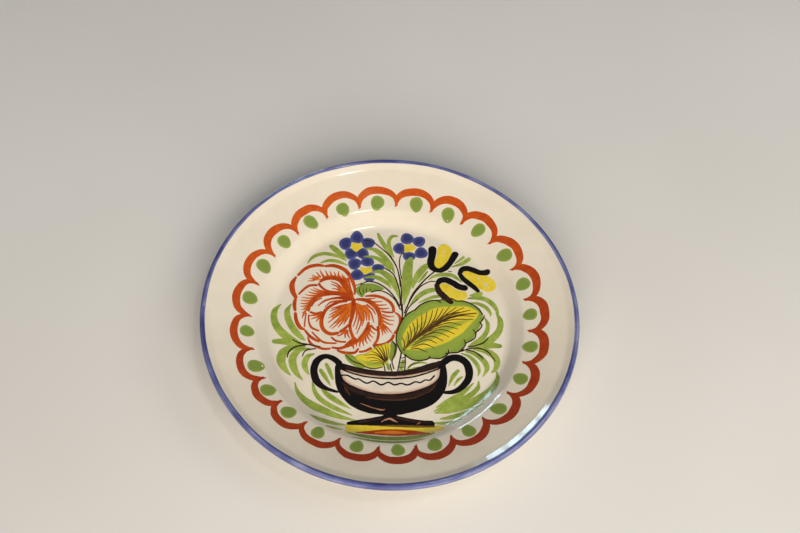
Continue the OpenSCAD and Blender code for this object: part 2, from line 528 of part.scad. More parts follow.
top_fronds = [
  [[-40.6, 62.6, 2.8], [-37.6, 58.8, 3.8], [-33.4, 55, 2.2], [-31.6, 53.4, 0.8]],
  [[-56.8, 48.4, 0.6], [-53, 53.4, 2], [-46, 56, 2.4], [-38.4, 54.2, 2], [-31.6, 50.4, 0.6]],
  [[-47.4, 48.8, 1], [-43, 50.6, 2], [-36, 50, 2.2], [-30, 47.4, 0.6]],
  [[-11.6, 60.8, 2.4], [-7.6, 58.2, 4], [-2, 52, 4], [1.6, 45.6, 3.2], [3.4, 41.4, 0.6]],
  [[-10, 54, 2.2], [-6.4, 51, 2.2], [-3, 47.6, 2], [-0.4, 43.6, 0.6]],
  [[-7.4, 40.6, 2.4], [-2, 38, 4.4], [2.4, 32, 4.8], [5, 26, 3], [6.4, 21.6, 0.6]],
  [[-9.4, 37, 2.4], [-5.4, 35.2, 2.8], [-1, 31, 2], [0.6, 28, 0.6]],
  [[-8.2, 73.4, 1.6], [-6.4, 68.6, 2.8], [-3, 62.6, 3], [0.6, 56.6, 1.8]],
  [[4.2, 72.2, 1.2], [1.4, 71, 2.2], [-0.2, 66.6, 2.4], [0.8, 61, 1.8], [2.8, 53.4, 0.6]],
  [[12.8, 50, 4.6], [12, 42, 6.6], [11.8, 33, 7.4], [10.6, 24, 5], [9.6, 17.4, 1]],
  [[25, 46.8, 2.8], [21, 42, 4], [18, 36, 3.6], [16.4, 31, 1]],
  [[48.4, 36.6, 1], [44, 40, 2], [38, 41, 2.4], [31.6, 39.6, 1.6], [27, 36.8, 0.6]],
  [[29.8, 28.4, 3.4], [24, 26.8, 3.6], [18.6, 22.4, 3.6], [14, 16.6, 1]],
  [[34, 23, 1.6], [28.6, 22.9, 1.6], [22.6, 20, 1]],
  [[56, 25, 1], [60, 25.4, 3.6], [61.6, 25, 3]],
  [[45, 50.6, 0.6], [48, 52.8, 1.2], [51, 55.8, 1.6]],
  [[43, 47.8, 0.6], [49.6, 50.2, 2], [54.6, 53.8, 2.4]]
];
low_fronds = [
  [[-43, -48.8, 1.6], [-38, -53, 3.2], [-31.6, -58, 2.4], [-26, -61.6, 0.6]],
  [[-50, -44, 0.8], [-47.4, -51, 2.8], [-42, -57.6, 3.4], [-33, -63, 2.6], [-25.4, -66.4, 0.6]],
  [[-61.4, -45, 0.8], [-57.6, -53.6, 3.2], [-49.6, -60.2, 4.4], [-38, -65.8, 3.4], [-27, -69.4, 0.6]],
  [[-50.4, -69, 0.8], [-44, -71.6, 3], [-36.4, -73.4, 2.8], [-30, -73.4, 0.6]],
  [[-39.6, -76.6, 0.8], [-35, -77.4, 1.4], [-31.6, -77.2, 0.6]],
  [[54.6, -42, 0.8], [50.4, -46.8, 1.8], [44.6, -52, 3], [37, -56.4, 2.6], [31, -60, 0.6]],
  [[58.6, -41, 0.8], [57.4, -46, 2.6], [51.6, -51.4, 2.8], [43, -56.6, 3], [35, -60.4, 2.4],
   [29.4, -62.8, 0.6]],
  [[70.4, -34.4, 1], [70.4, -40, 2.8], [65.8, -48, 5], [56.6, -55, 5.4], [45, -60.4, 3.8],
   [33, -63.6, 0.8]],
  [[60, -59.8, 1.6], [52, -63.6, 3.6], [42, -66.6, 2.6], [34, -67.9, 0.6]],
  [[45, -70.2, 1], [38, -71.8, 2.2], [33, -71.6, 1]]
];
stalk_strokes = [
  [[9, -26.6, 2.2], [8.2, -30, 2.6], [7.4, -33, 2.4]],
  [[-1.4, -29, 1.8], [-0.8, -31, 2.2], [-0.4, -32.8, 2]]
];
stem_strokes = [
  [[-20, 31.6, 0.6], [-15, 34.4, 0.9], [-8, 33, 1], [-1, 27.6, 1], [3.6, 21.6, 0.8], [6.6, 15.4, 0.8]],
  [[-3.6, 45.4, 0.8], [2.2, 40.8, 0.8], [5.6, 32, 0.8], [6.9, 24, 0.8], [7.2, 16, 0.8]],
  [[-9.6, 65, 0.6], [0.2, 55.4, 0.7], [5.2, 44.6, 0.8], [7.3, 31, 0.8]],
  [[30.6, 43, 0.8], [24, 36.6, 1], [18, 28.8, 1], [14.4, 22.6, 0.8]],
  [[31, 35.6, 0.6], [26.6, 35, 0.7], [21, 31.2, 0.8], [16.6, 25.4, 0.9], [12, 16, 0.9], [10, 10, 0.8]],
  [[8.4, 17, 0.8], [8.6, 8, 1], [7.4, 1.6, 0.8]],
  [[-63, -12.4, 0.7], [-58.6, -14.8, 0.8], [-53, -15.9, 0.9]],
  [[-64.6, -21, 0.7], [-60.6, -17.6, 0.9], [-54, -16.9, 0.9], [-48.4, -16.4, 0.9]],
  [[53.6, -15.4, 0.8], [60, -13.6, 0.8], [63.6, -11.6, 0.8], [66.4, -8.4, 0.6]],
  [[52, -16.8, 0.8], [57, -16.2, 0.8], [63, -17.2, 0.7], [68, -20.6, 0.6]]
];

// ---- Outlines that more than one layer needs ----
module bowl_outline() blob(bowl);
module panel_outline() blob(panel);
module foot_outline() patch(foot_shape);
module handles_outline() {
  brush(handle_left);
  brush(handle_right);
}
module leaf_outline() blob(leaf_shape);
module leaf_heart_outline() blob(leaf_yellow);
module small_heart_outline() blob(small_heart);
module small_green_outline() for (points = small_green) blob(points);
module curled_outline() blob(curled_shape);
module rose_petal_outline() {
  brushes(rose_outer);
  brushes(rose_inner);
}
module star_outline() for (points = star_shapes) patch(points);
module tulip_black_outline() brushes(tulip_black);
module tulip_outline() {
  for (points = tulip_yellow) blob(points);
  tulip_black_outline();
}
module petal_outline()
  for (flower = flowers)
    for (p = flower[1])
      let (out = xy(p) - flower[0])
        patch(egg(xy(p), angle_of(out), p[2], p[3]));
module leaf_vein_outline() {
  brush(midrib);
  for (v = veins_up) brush(hair(v[0], v[1], up_vein_bend));
  for (v = veins_low) brush(hair(v[0], v[1], low_vein_bend));
}
module leaf_edge_outline()
  difference() {
    patch(loop_grown(loop(leaf_shape), leaf_edge_w / 2));
    patch(loop_grown(loop(leaf_shape), -leaf_edge_w / 2));
  }
module leaf_line_outline() {
  leaf_vein_outline();
  leaf_edge_outline();
}

// ---- Solids ----
// Everything between the glaze and the top of the paint, over the face of the plate
module paint_shell()
  rotate_extrude()
    polygon([for (p = layer(face_path, 0, paint_t)) [max(p[0], 0), p[1]]]);

module laid_on_glaze()
  intersection() {
    paint_shell();
    linear_extrude(height = plate_h)
      children();
  }

module clay_body()
  color(clay_colour)
    rotate_extrude()
      polygon(concat(grown(outer_path, -glaze_t), foot_path, grown(under_path, -glaze_t)));

module glaze_coat()
  color(white)
    rotate_extrude()
      polygon(layer(outer_path, -glaze_t, 0));

module foot_glaze()
  color(white)
    rotate_extrude()
      polygon(layer(under_path, -glaze_t, 0));

module rim_band()
  color(blue)
    rotate_extrude()
      polygon(layer(edge_path, 0, paint_t));

module scallop_border() {
  pitch = 360 / scallops;
  outer = pitch / 2 - atan(tip_gap / 2 / tip_r);
  inner = outer - atan(tip_w / tip_r);
  color(orange)
    laid_on_glaze()
      for (i = [0:scallops - 1])
        rotate(border_turn + i * pitch)
          polygon(concat(
            [for (s = [0:scallop_steps]) arch(scallop_depth, outer, s / scallop_steps)],
            [for (s = [scallop_steps:-1:0]) arch(scallop_depth - crown_w, inner, s / scallop_steps)]));
}

module border_dots()
  color(green)
    laid_on_glaze()
      for (i = [0:scallops - 1])
        rotate(border_turn + i * 360 / scallops)
          translate([dot_r, 0])
            polygon(egg([0, 0], 180, dot_l, dot_w));

module urn_bowl()
  color(black)
    laid_on_glaze()
      difference() {
        bowl_outline();
        panel_outline();
      }

module urn_panel()
  color(blush)
    laid_on_glaze()
      difference() {
        panel_outline();
        brushes(panel_lines);
      }

module urn_panel_lines()
  color(black)
    laid_on_glaze()
      intersection() {
        panel_outline();
        brushes(panel_lines);
      }

module urn_handle_left()
  color(black)
    laid_on_glaze()
      difference() {
        brush(handle_left);
        bowl_outline();
      }

module urn_handle_right()
  color(black)
    laid_on_glaze()
      difference() {
        brush(handle_right);
        bowl_outline();
      }

module urn_foot()
  color(black)
    laid_on_glaze()
      difference() {
        foot_outline();
        bowl_outline();
      }

module ground_yellow()
  color(yellow)
    laid_on_glaze()
      difference() {
        brushes(ground_yellow_strokes);
        foot_outline();
        brushes(ground_red_strokes);
        brushes(ground_green_strokes);
      }

module ground_red()
  color(orange)
    laid_on_glaze()
      difference() {
        brushes(ground_red_strokes);
        foot_outline();
      }

module ground_green()
  color(green)
    laid_on_glaze()
      difference() {
        brushes(ground_green_strokes);
        brushes(ground_red_strokes);
      }

module rose_petals()
  color(rust)
    laid_on_glaze()
      difference() {
        rose_petal_outline();
        petal_outline();
      }

module rose_hairs()
  color(orange)
    laid_on_glaze()
      difference() {
        union() {
          for (fan = rose_fans)
            for (end = fan[2])
              brush(hair(fan[0] + fan_start * (rose_hub - fan[0]), end, fan[1]));
          for (f = rose_fringes)
            for (i = [0:f[4]])
              let (across = i / f[4])
                brush(hair(f[0] + across * (f[2] - f[0]), f[1] + across * (f[3] - f[1]), fringe_bend));
        }
        rose_petal_outline();
        petal_outline();
      }

module blue_petals()
  color(blue)
    laid_on_glaze()
      difference() {
        petal_outline();
        star_outline();
      }

module flower_centres()
  color(yellow)
    laid_on_glaze()
      star_outline();

module tulip_hearts()
  color(yellow)
    laid_on_glaze()
      difference() {
        for (points = tulip_yellow) blob(points);
        tulip_black_outline();
      }

module tulip_edges()
  color(black)
    laid_on_glaze()
      tulip_black_outline();

module leaf_green()
  color(green)
    laid_on_glaze()
      difference() {
        leaf_outline();
        leaf_heart_outline();
        leaf_line_outline();
        tulip_outline();
      }

module leaf_heart()
  color(yellow)
    laid_on_glaze()
      difference() {
        leaf_heart_outline();
        leaf_line_outline();
      }

module leaf_lines()
  color(brown)
    laid_on_glaze()
      difference() {
        leaf_line_outline();
        rose_petal_outline();
        tulip_outline();
        handles_outline();
        bowl_outline();
      }

module small_leaf_green()
  color(green)
    laid_on_glaze()
      difference() {
        small_green_outline();
        small_heart_outline();
        brushes(small_leaf_strokes);
        rose_petal_outline();
      }

module small_leaf_heart()
  color(yellow)
    laid_on_glaze()
      difference() {
        small_heart_outline();
        brushes(small_leaf_strokes);
        rose_petal_outline();
      }

module small_leaf_lines()
  color(brown)
    laid_on_glaze()
      difference() {
        brushes(small_leaf_strokes);
        rose_petal_outline();
        bowl_outline();
      }

module curled_leaf()
  color(green)
    laid_on_glaze()
      difference() {
        curled_outline();
        brushes(curled_veins);
        rose_petal_outline();
      }

module curled_leaf_lines()
  color(brown)
    laid_on_glaze()
      difference() {
        brushes(curled_veins);
        rose_petal_outline();
      }

module fronds_left()
  color(green)
    laid_on_glaze()
      difference() {
        brushes(left_fronds);
        rose_petal_outline();
        handles_outline();
        bowl_outline();
        brushes(stem_strokes);
      }

module fronds_right()
  color(green)
    laid_on_glaze()
      difference() {
        brushes(right_fronds);
        brushes(top_fronds);
        leaf_outline();
        leaf_edge_outline();
        handles_outline();
        bowl_outline();
        brushes(stem_strokes);
      }

module fronds_top()
  color(green)
    laid_on_glaze()
      difference() {
        brushes(top_fronds);
        petal_outline();
        star_outline();
        tulip_outline();
        leaf_outline();
        leaf_edge_outline();
        curled_outline();
        rose_petal_outline();
        brushes(stem_strokes);
      }

module fronds_low()
  color(green)
    laid_on_glaze()
      difference() {
        brushes(low_fronds);
        bowl_outline();
        handles_outline();
        foot_outline();
        brushes(ground_yellow_strokes);
      }

module stalks()
  color(green)
    laid_on_glaze()
      difference() {
        brushes(stalk_strokes);
        bowl_outline();
        leaf_outline();
        leaf_edge_outline();
        small_heart_outline();
        brushes(small_leaf_strokes);
      }

module stems()
  color(brown)
    laid_on_glaze()
      difference() {
        brushes(stem_strokes);
        petal_outline();
        tulip_outline();
        leaf_outline();
        leaf_edge_outline();
        rose_petal_outline();
        curled_outline();
        handles_outline();
      }

clay_body();
glaze_coat();
foot_glaze();
rim_band();
scallop_border();
border_dots();
urn_bowl();
urn_panel();
urn_panel_lines();
urn_handle_left();
urn_handle_right();
urn_foot();
ground_yellow();
ground_red();
ground_green();
rose_petals();
rose_hairs();
blue_petals();
flower_centres();
tulip_hearts();
tulip_edges();
leaf_green();
leaf_heart();
leaf_lines();
small_leaf_green();
small_leaf_heart();
small_leaf_lines();
curled_leaf();
curled_leaf_lines();
fronds_left();
fronds_right();
fronds_top();
fronds_low();
stalks();
stems();
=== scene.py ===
"""Looks of the hand painted plate: a smooth white glaze with brushed enamel on it, in soft studio light.

Lengths in the lists and in the shapes below are millimetres from the plate's centre; Blender gets metres.
"""

import math

import bpy
import numpy as np
from mathutils import Matrix, Vector, noise
from mathutils.bvhtree import BVHTree
from mathutils.geometry import delaunay_2d_cdt


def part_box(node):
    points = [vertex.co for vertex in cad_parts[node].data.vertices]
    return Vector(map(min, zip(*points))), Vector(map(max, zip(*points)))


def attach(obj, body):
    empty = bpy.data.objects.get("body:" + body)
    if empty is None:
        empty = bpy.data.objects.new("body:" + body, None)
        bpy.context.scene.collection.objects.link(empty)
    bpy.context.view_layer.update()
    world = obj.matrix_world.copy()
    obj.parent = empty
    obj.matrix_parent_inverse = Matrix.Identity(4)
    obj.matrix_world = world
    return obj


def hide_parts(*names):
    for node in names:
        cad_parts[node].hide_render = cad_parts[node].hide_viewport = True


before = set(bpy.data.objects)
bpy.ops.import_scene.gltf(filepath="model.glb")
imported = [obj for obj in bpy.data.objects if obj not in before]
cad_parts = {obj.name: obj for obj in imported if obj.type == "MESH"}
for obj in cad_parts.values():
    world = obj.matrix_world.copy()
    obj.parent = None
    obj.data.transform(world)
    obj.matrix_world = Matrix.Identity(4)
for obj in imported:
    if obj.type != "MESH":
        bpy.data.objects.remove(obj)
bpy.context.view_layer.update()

MM = 0.001

# ---------------------------------------------------------------- the turned profile, read from the frame
SIDES = 288  # steps round the plate
PROFILE_STEP = 0.6  # spacing of the profile's points
SMOOTHING = 3  # passes that take the CAD profile's small flats out
READ_TURN = math.radians(0.4)  # the half plane that is read, clear of the CAD mesh's seam
READ_FROM = 0.2  # innermost radius that is read
AWAY = 400  # rays start this far out


def turned(node):
    """The CAD node's surface, ready for rays."""
    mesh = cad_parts[node].data
    corners = [v.co / MM for v in mesh.vertices]
    return BVHTree.FromPolygons(corners, [tuple(p.vertices) for p in mesh.polygons])


glaze_low, glaze_high = (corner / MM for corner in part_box("glaze_coat"))
BAND_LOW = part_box("rim_band")[0].z / MM
FOOT_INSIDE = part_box("foot_glaze")[1].x / MM
EDGE_R = glaze_high.x
LIP_H = glaze_high.z
LIP_ROUND = 2.2  # the rays that read the lip meet this far inside its top and its edge
EDGE_WALL = 3.2  # the part of the edge below the lip that is read sideways
BARE_H = glaze_low.z


def reading(tree, r, z, dr, dz):
    """Where a ray in the plate's half plane meets the surface, as (radius, height)."""
    out = Vector((math.cos(READ_TURN), math.sin(READ_TURN), 0))
    hit = tree.ray_cast(out * r + Vector((0, 0, z)), out * dr + Vector((0, 0, dz)))[0]
    return None if hit is None else (math.hypot(hit.x, hit.y), hit.z)


def run_along(path):
    """Length of the path up to each of its points."""
    return np.concatenate(([0], np.cumsum(np.hypot(*np.diff(path, axis=0).T))))


def spaced(path, step):
    """The path with its points an even step apart."""
    path = np.array(path)
    run = run_along(path)
    marks = np.linspace(0, run[-1], max(2, round(run[-1] / step) + 1))
    return np.column_stack([np.interp(marks, run, path[:, i]) for i in (0, 1)])


def smoothed(path):
    """The path with its small flats taken out; its ends stay."""
    for _ in range(SMOOTHING):
        path[1:-1] = (path[:-2] + 2 * path[1:-1] + path[2:]) / 4
    return path


def read_profile():
    """The glaze's outside, from the middle of the well over the lip to the foot ring."""
    tree = turned("glaze_coat")
    inner = EDGE_R - LIP_ROUND
    lip_h = LIP_H - LIP_ROUND
    face = [reading(tree, r, AWAY, 0, -1) for r in np.arange(READ_FROM, inner, PROFILE_STEP)]
    lip = [reading(tree, inner + AWAY * math.cos(a), lip_h + AWAY * math.sin(a), -math.cos(a), -math.sin(a))
           for a in np.radians(np.arange(100, -1, -10))]
    wall = [reading(tree, AWAY, lip_h - d, -1, 0) for d in np.arange(0.5, EDGE_WALL, 0.5)]
    foot_r = reading(tree, AWAY, BARE_H + 0.5, -1, 0)[0]
    back = [reading(tree, r, -AWAY, 0, 1) for r in np.arange(EDGE_R - 1, foot_r + 0.8, -PROFILE_STEP)]
    foot = [reading(tree, AWAY, z, -1, 0) for z in np.arange(BARE_H + 1.2, BARE_H, -0.3)]
    path = [(0, face[0][1])] + [p for p in face + lip + wall + back + foot if p]
    path.append((path[-1][0], BARE_H))
    return smoothed(spaced(path, PROFILE_STEP))


profile = read_profile()
top = int(np.argmax(profile[:, 1]))
face_r, face_h = profile[:top + 1].T


# ---------------------------------------------------------------- a hand-made surface
WARP = 0.22  # how far the rim strays from a true plane
WARP_LENGTH = 85
RIPPLE = 0.05
RIPPLE_LENGTH = 22


def field(x, y, length, seed):
    """Smooth noise from -1 to 1 over the plate, with bumps about this long."""
    return noise.noise(Vector((x / length, y / length, seed)))


def sway(x, y):
    """Height that the potter's hand adds at a place, none at the centre."""
    share = min(1, math.hypot(x, y) / EDGE_R)
    warp = WARP * share ** 2 * field(x, y, WARP_LENGTH, 3.7)
    return warp + RIPPLE * share * field(x, y, RIPPLE_LENGTH, 9.1)


def ground(x, y):
    """Height of the glazed face at a place."""
    return float(np.interp(math.hypot(x, y), face_r, face_h)) + sway(x, y)


def new_piece(name, verts, faces, material, node, sharp=(), layers=None, uv=None):
    """A closed mesh in the plate's frame that stands for a CAD node."""
    mesh = bpy.data.meshes.new(name)
    mesh.from_pydata([(x * MM, y * MM, z * MM) for x, y, z in verts], [], faces)
    mesh.polygons.foreach_set("use_smooth", [True] * len(mesh.polygons))
    for key, values in (layers or {}).items():
        layer = mesh.attributes.new(key, "FLOAT", "POINT")
        layer.data.foreach_set("value", np.asarray(values, np.float32))
    if uv is not None:
        corners = np.empty(len(mesh.loops), np.int32)
        mesh.loops.foreach_get("vertex_index", corners)
        layer = mesh.uv_layers.new(name="stroke")
        layer.data.foreach_set("uv", np.asarray(uv, np.float32)[corners].ravel())
    if len(sharp):
        edges = np.empty(len(mesh.edges) * 2, np.int32)
        mesh.edges.foreach_get("vertices", edges)
        on_rim = np.isin(edges.reshape(-1, 2), np.asarray(sharp)).all(axis=1)
        mesh.attributes.new("sharp_edge", "BOOLEAN", "EDGE").data.foreach_set("value", on_rim)
    mesh.update()
    piece = bpy.data.objects.new(name, mesh)
    bpy.context.scene.collection.objects.link(piece)
    piece.data.materials.append(material)
    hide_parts(node)
    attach(piece, "root")
    return piece


def moved_out(path, distance):
    """The profile moved outwards, square to itself."""
    along = np.gradient(path, axis=0)
    along /= np.hypot(*along.T)[:, None]
    return path + distance * np.column_stack([-along[:, 1], along[:, 0]])


def lathe(name, outline, material, node):
    """A closed body turned from a closed outline of (radius, height)."""
    verts, rings = [], []
    for r, z in outline:
        if r < 0.01:
            rings.append([len(verts)] * SIDES)
            verts.append((0, 0, z))
            continue
        rings.append(range(len(verts), len(verts) + SIDES))
        for i in range(SIDES):
            a = 2 * math.pi * i / SIDES
            x, y = r * math.cos(a), r * math.sin(a)
            verts.append((x, y, z + sway(x, y)))
    faces = []
    for n, ring in enumerate(rings):
        following = rings[(n + 1) % len(rings)]
        for i in range(SIDES):
            j = (i + 1) % SIDES
            loop = [following[i], following[j], ring[j], ring[i]]
            loop = [v for k, v in enumerate(loop) if v != loop[k - 1]]
            if len(loop) > 2:
                faces.append(loop)
    return new_piece(name, verts, faces, material, node)


# ---------------------------------------------------------------- brushed enamel
COAT = 0.05  # height of the enamel over the glaze
KEY = 0.05  # depth that it reaches under the glaze
LIFT = 0.03  # each coat painted later lies this much higher
ACROSS = (-1, -0.8, -0.4, 0, 0.4, 0.8, 1)  # places of a stroke's points across it
RING_STEP = 0.9
CAP_ANGLES = np.radians((80, 55, 28))
THINNEST = 0.15  # a stroke is never narrower than this
FULL_CROWN = 0.6  # half width from which a stroke has its full height
OUTLINE_STEP = 0.6
FILL_STEP = 1.6
ROW_SHARE = 0.87  # the rows of a filled shape's points are this share of their spacing apart
RIM_STEPS = (0.22, 0.7)  # rings of points inside a filled outline
SOFT_EDGE = 0.7  # the enamel rises to its full height over this width
FAR = 9.0  # the edge layer counts no further than this
UV_UNIT = 10
TINY = 1e-9
SHAKE = 0.13  # slow waver of the hand
SHAKE_LENGTH = 5
TREMOR = 0.05  # quick waver of the hand
TREMOR_LENGTH = 1.6
EGG_TAPER = 0.16


def wobble(x, y, seed):
    """Shifts a point as an unsteady hand does."""
    def waver(key):
        return SHAKE * field(x, y, SHAKE_LENGTH, key) + TREMOR * field(x, y, TREMOR_LENGTH, key + 5)
    return x + waver(seed), y + waver(seed + 11)


def smooth_path(points, step, closed=False):
    """A smooth curve through the chosen points; each is (x, y) or (x, y, width)."""
    p = np.array(points, float)
    n = len(p)
    out = []
    for i in range(n if closed else n - 1):
        a, b, c, d = (p[(i + k) % n] if closed else p[min(max(i + k, 0), n - 1)] for k in (-1, 0, 1, 2))
        for t in np.arange(0, 1, 1 / max(1, math.ceil(np.hypot(*(c - b)[:2]) / step))):
            out.append(0.5 * (2 * b + (c - a) * t + (2 * a - 5 * b + 4 * c - d) * t ** 2
                              + (3 * b - a - 3 * c + d) * t ** 3))
    if not closed:
        out.append(p[-1])
    return np.array(out)


def smooth_corners(outline):
    """Straight sides with their corners just rounded off."""
    o = np.array(outline, float)
    for share in (0.12, 0.25):
        after = np.roll(o, -1, axis=0)
        o = np.stack([(1 - share) * o + share * after, share * o + (1 - share) * after], 1).reshape(-1, 2)
    return o


def egg(at, turn, length, width, steps=30):
    """Egg outline; turn is the way its narrow end points."""
    out = []
    for a in np.linspace(0, 2 * math.pi, steps, endpoint=False):
        u, v = length / 2 * math.cos(a), width / 2 * math.sin(a) * (1 - EGG_TAPER * math.cos(a))
        out.append((at[0] + u * math.cos(turn) - v * math.sin(turn),
                    at[1] + u * math.sin(turn) + v * math.cos(turn)))
    return out


def polar(r, degrees):
    return r * math.cos(math.radians(degrees)), r * math.sin(math.radians(degrees))


def turns_left(a, b, c):
    return (b[0] - a[0]) * (c[1] - a[1]) - (b[1] - a[1]) * (c[0] - a[0]) > 0


def unit(way):
    """Each row of a list of directions at length one."""
    return way / np.maximum(np.hypot(*way.T), TINY)[:, None]


def distance_to(points, loops):
    """How far each point is from the nearest of some closed outlines."""
    nearest = []
    for a in loops:
        ab = np.roll(a, -1, axis=0) - a
        t = ((points[:, None] - a) * ab).sum(2) / np.maximum((ab * ab).sum(1), TINY)
        near = a + np.clip(t, 0, 1)[:, :, None] * ab
        nearest.append(np.hypot(*np.moveaxis(points[:, None] - near, 2, 0)).min(1))
    return np.min(nearest, axis=0)


def inside(points, outline):
    """Which points lie within a closed outline."""
    x, y = points[:, 0, None], points[:, 1, None]
    x0, y0 = outline.T
    x1, y1 = np.roll(outline, -1, axis=0).T
    crosses = (y0 > y) != (y1 > y)
    with np.errstate(divide="ignore", invalid="ignore"):
        at = x0 + (y - y0) * (x1 - x0) / (y1 - y0)
    return (crosses & (x < at)).sum(1) % 2 == 1


def enclosed(points, loops):
    """Which points lie within the first outline and in none of the others, which are its holes."""
    keep = inside(points, loops[0])
    for hole in loops[1:]:
        keep &= ~inside(points, hole)
    return keep


def inner_points(loops):
    """Points that keep a filled shape's triangles even: rings along its edges and a staggered grid."""
    batches = []
    for o in loops:
        way = unit(np.roll(o, -1, axis=0) - np.roll(o, 1, axis=0))
        square = np.column_stack([-way[:, 1], way[:, 0]])
        batches += [(o + side * d * square, d * 0.9) for d in RIM_STEPS for side in (1, -1)]
    low, high = np.vstack(loops).min(0), np.vstack(loops).max(0)
    grid = [(x + (row % 2) * FILL_STEP / 2, y)
            for row, y in enumerate(np.arange(low[1], high[1], FILL_STEP * ROW_SHARE))
            for x in np.arange(low[0], high[0], FILL_STEP)]
    batches.append((np.array(grid), RIM_STEPS[-1] + FILL_STEP / 2))
    points = []
    for batch, clear in batches:
        batch = batch[enclosed(batch, loops)]
        if len(batch):
            points += [tuple(p) for p in batch[distance_to(batch, loops) >= clear]]
    return points


def filled_sheet(loops):
    """Points and triangles over a shape with holes, and the edges along its rim."""
    plan, edges = [], []
    for o in loops:
        edges += [(len(plan) + i, len(plan) + (i + 1) % len(o)) for i in range(len(o))]
        plan += [tuple(p) for p in o]
    plan += inner_points(loops)
    found = delaunay_2d_cdt([Vector(p) for p in plan], edges, [], 0, 1e-5)
    plan = np.array([tuple(v) for v in found[0]])
    triangles = [t for t in found[2] if len(t) == 3]
    keep = enclosed(np.array([plan[list(t)].mean(0) for t in triangles]), loops)
    triangles = [t if turns_left(*plan[list(t)]) else t[::-1] for t, k in zip(triangles, keep) if k]
    used = sorted({v for t in triangles for v in t})
    place = {v: i for i, v in enumerate(used)}
    triangles = [[place[v] for v in t] for t in triangles]
    sides = {(t[i], t[(i + 1) % 3]) for t in triangles for i in range(3)}
    return plan[used], triangles, [(a, b) for a, b in sides if (b, a) not in sides]


class Enamel:
    """Strokes and filled shapes of one colour, gathered into one closed mesh."""

    def __init__(self, coat=0, seed=0):
        self.base = coat * LIFT
        self.seed = seed
        self.verts, self.faces, self.uv, self.tone, self.edge, self.rims = [], [], [], [], [], []

    def slab(self, plan, heights, faces, rim, uv, tone, edge):
        """Closes a drawn sheet: its top, the same sheet under the glaze, and the wall round it."""
        start, n = len(self.verts), len(plan)
        moved = [wobble(x, y, self.seed) for x, y in plan]
        levels = [ground(x, y) for x, y in moved]
        self.verts += [(x, y, g + h) for (x, y), g, h in zip(moved, levels, heights)]
        self.verts += [(x, y, g - KEY) for (x, y), g in zip(moved, levels)]
        self.faces += [[start + v for v in f] for f in faces]
        self.faces += [[start + n + v for v in reversed(f)] for f in faces]
        for a, b in rim:
            self.faces.append([start + a, start + n + a, start + n + b, start + b])
            self.rims += [start + a, start + b, start + n + a, start + n + b]
        self.uv += list(uv) * 2
        self.tone += list(tone) * 2
        self.edge += list(edge) * 2

    def brush(self, points, tone=(0.5, 0.5)):
        """One stroke along (x, y, width) points; tone is how thick the colour is at its two ends."""
        c = smooth_path(points, RING_STEP)
        way = unit(np.gradient(c[:, :2], axis=0))
        half = np.maximum(c[:, 2], THINNEST) / 2
        rings = [(c[0, :2] - way[0] * half[0] * math.sin(a), way[0], half[0] * math.cos(a), 0)
                 for a in CAP_ANGLES]
        rings += [(p[:2], w, h, i / (len(c) - 1)) for i, (p, w, h) in enumerate(zip(c, way, half))]
        rings += [(c[-1, :2] + way[-1] * half[-1] * math.sin(a), way[-1], half[-1] * math.cos(a), 1)
                  for a in reversed(CAP_ANGLES)]
        plan, heights, uv, tones, edges = [], [], [], [], []
        run, last = 0, rings[0][0]
        for at, w, h, t in rings:
            run += float(np.hypot(*(at - last)))
            last = at
            for v in ACROSS:
                plan.append((at[0] - w[1] * h * v, at[1] + w[0] * h * v))
                heights.append(self.base + COAT * (1 - v * v) ** 0.5 * min(1, h / FULL_CROWN))
                uv.append((run / UV_UNIT, v * h / UV_UNIT))
                tones.append(tone[0] + (tone[1] - tone[0]) * t)
                edges.append(h * (1 - abs(v)))
        wide = len(ACROSS)
        end = (len(rings) - 1) * wide
        quads = [[k + i + 1, k + wide + i + 1, k + wide + i, k + i]
                 for k in range(0, end, wide) for i in range(wide - 1)]
        rim = [(k + 2 * wide - 1, k + wide - 1) for k in range(0, end, wide)]
        rim += [(k, k + wide) for k in range(0, end, wide)]
        rim += [(i + 1, i) for i in range(wide - 1)]
        rim += [(end + i, end + i + 1) for i in range(wide - 1)]
        self.slab(plan, heights, quads, rim, uv, tones, edges)

    def brushes(self, strokes, tone=(0.5, 0.5)):
        for points in strokes:
            self.brush(points, tone)

    def fill(self, outline, holes=(), tone=0.5, straight=False):
        """A filled shape inside a closed outline; each hole is an outline too."""
        loops = [smooth_corners(o) if straight else smooth_path(o, OUTLINE_STEP, True)[:, :2]
                 for o in (outline, *holes)]
        plan, triangles, rim = filled_sheet(loops)
        far = np.minimum(distance_to(plan, loops), FAR)
        rise = 1 - (1 - np.minimum(far / SOFT_EDGE, 1)) ** 2
        self.slab(plan, self.base + COAT * rise, triangles, rim, plan / UV_UNIT, [tone] * len(plan), far)

    def piece(self, name, material, slot, node=None):
        return new_piece("painted_" + name, self.verts, self.faces, material, node or name,
                         sorted(set(self.rims)), {"tone": self.tone, "edge": self.edge}, self.uv)


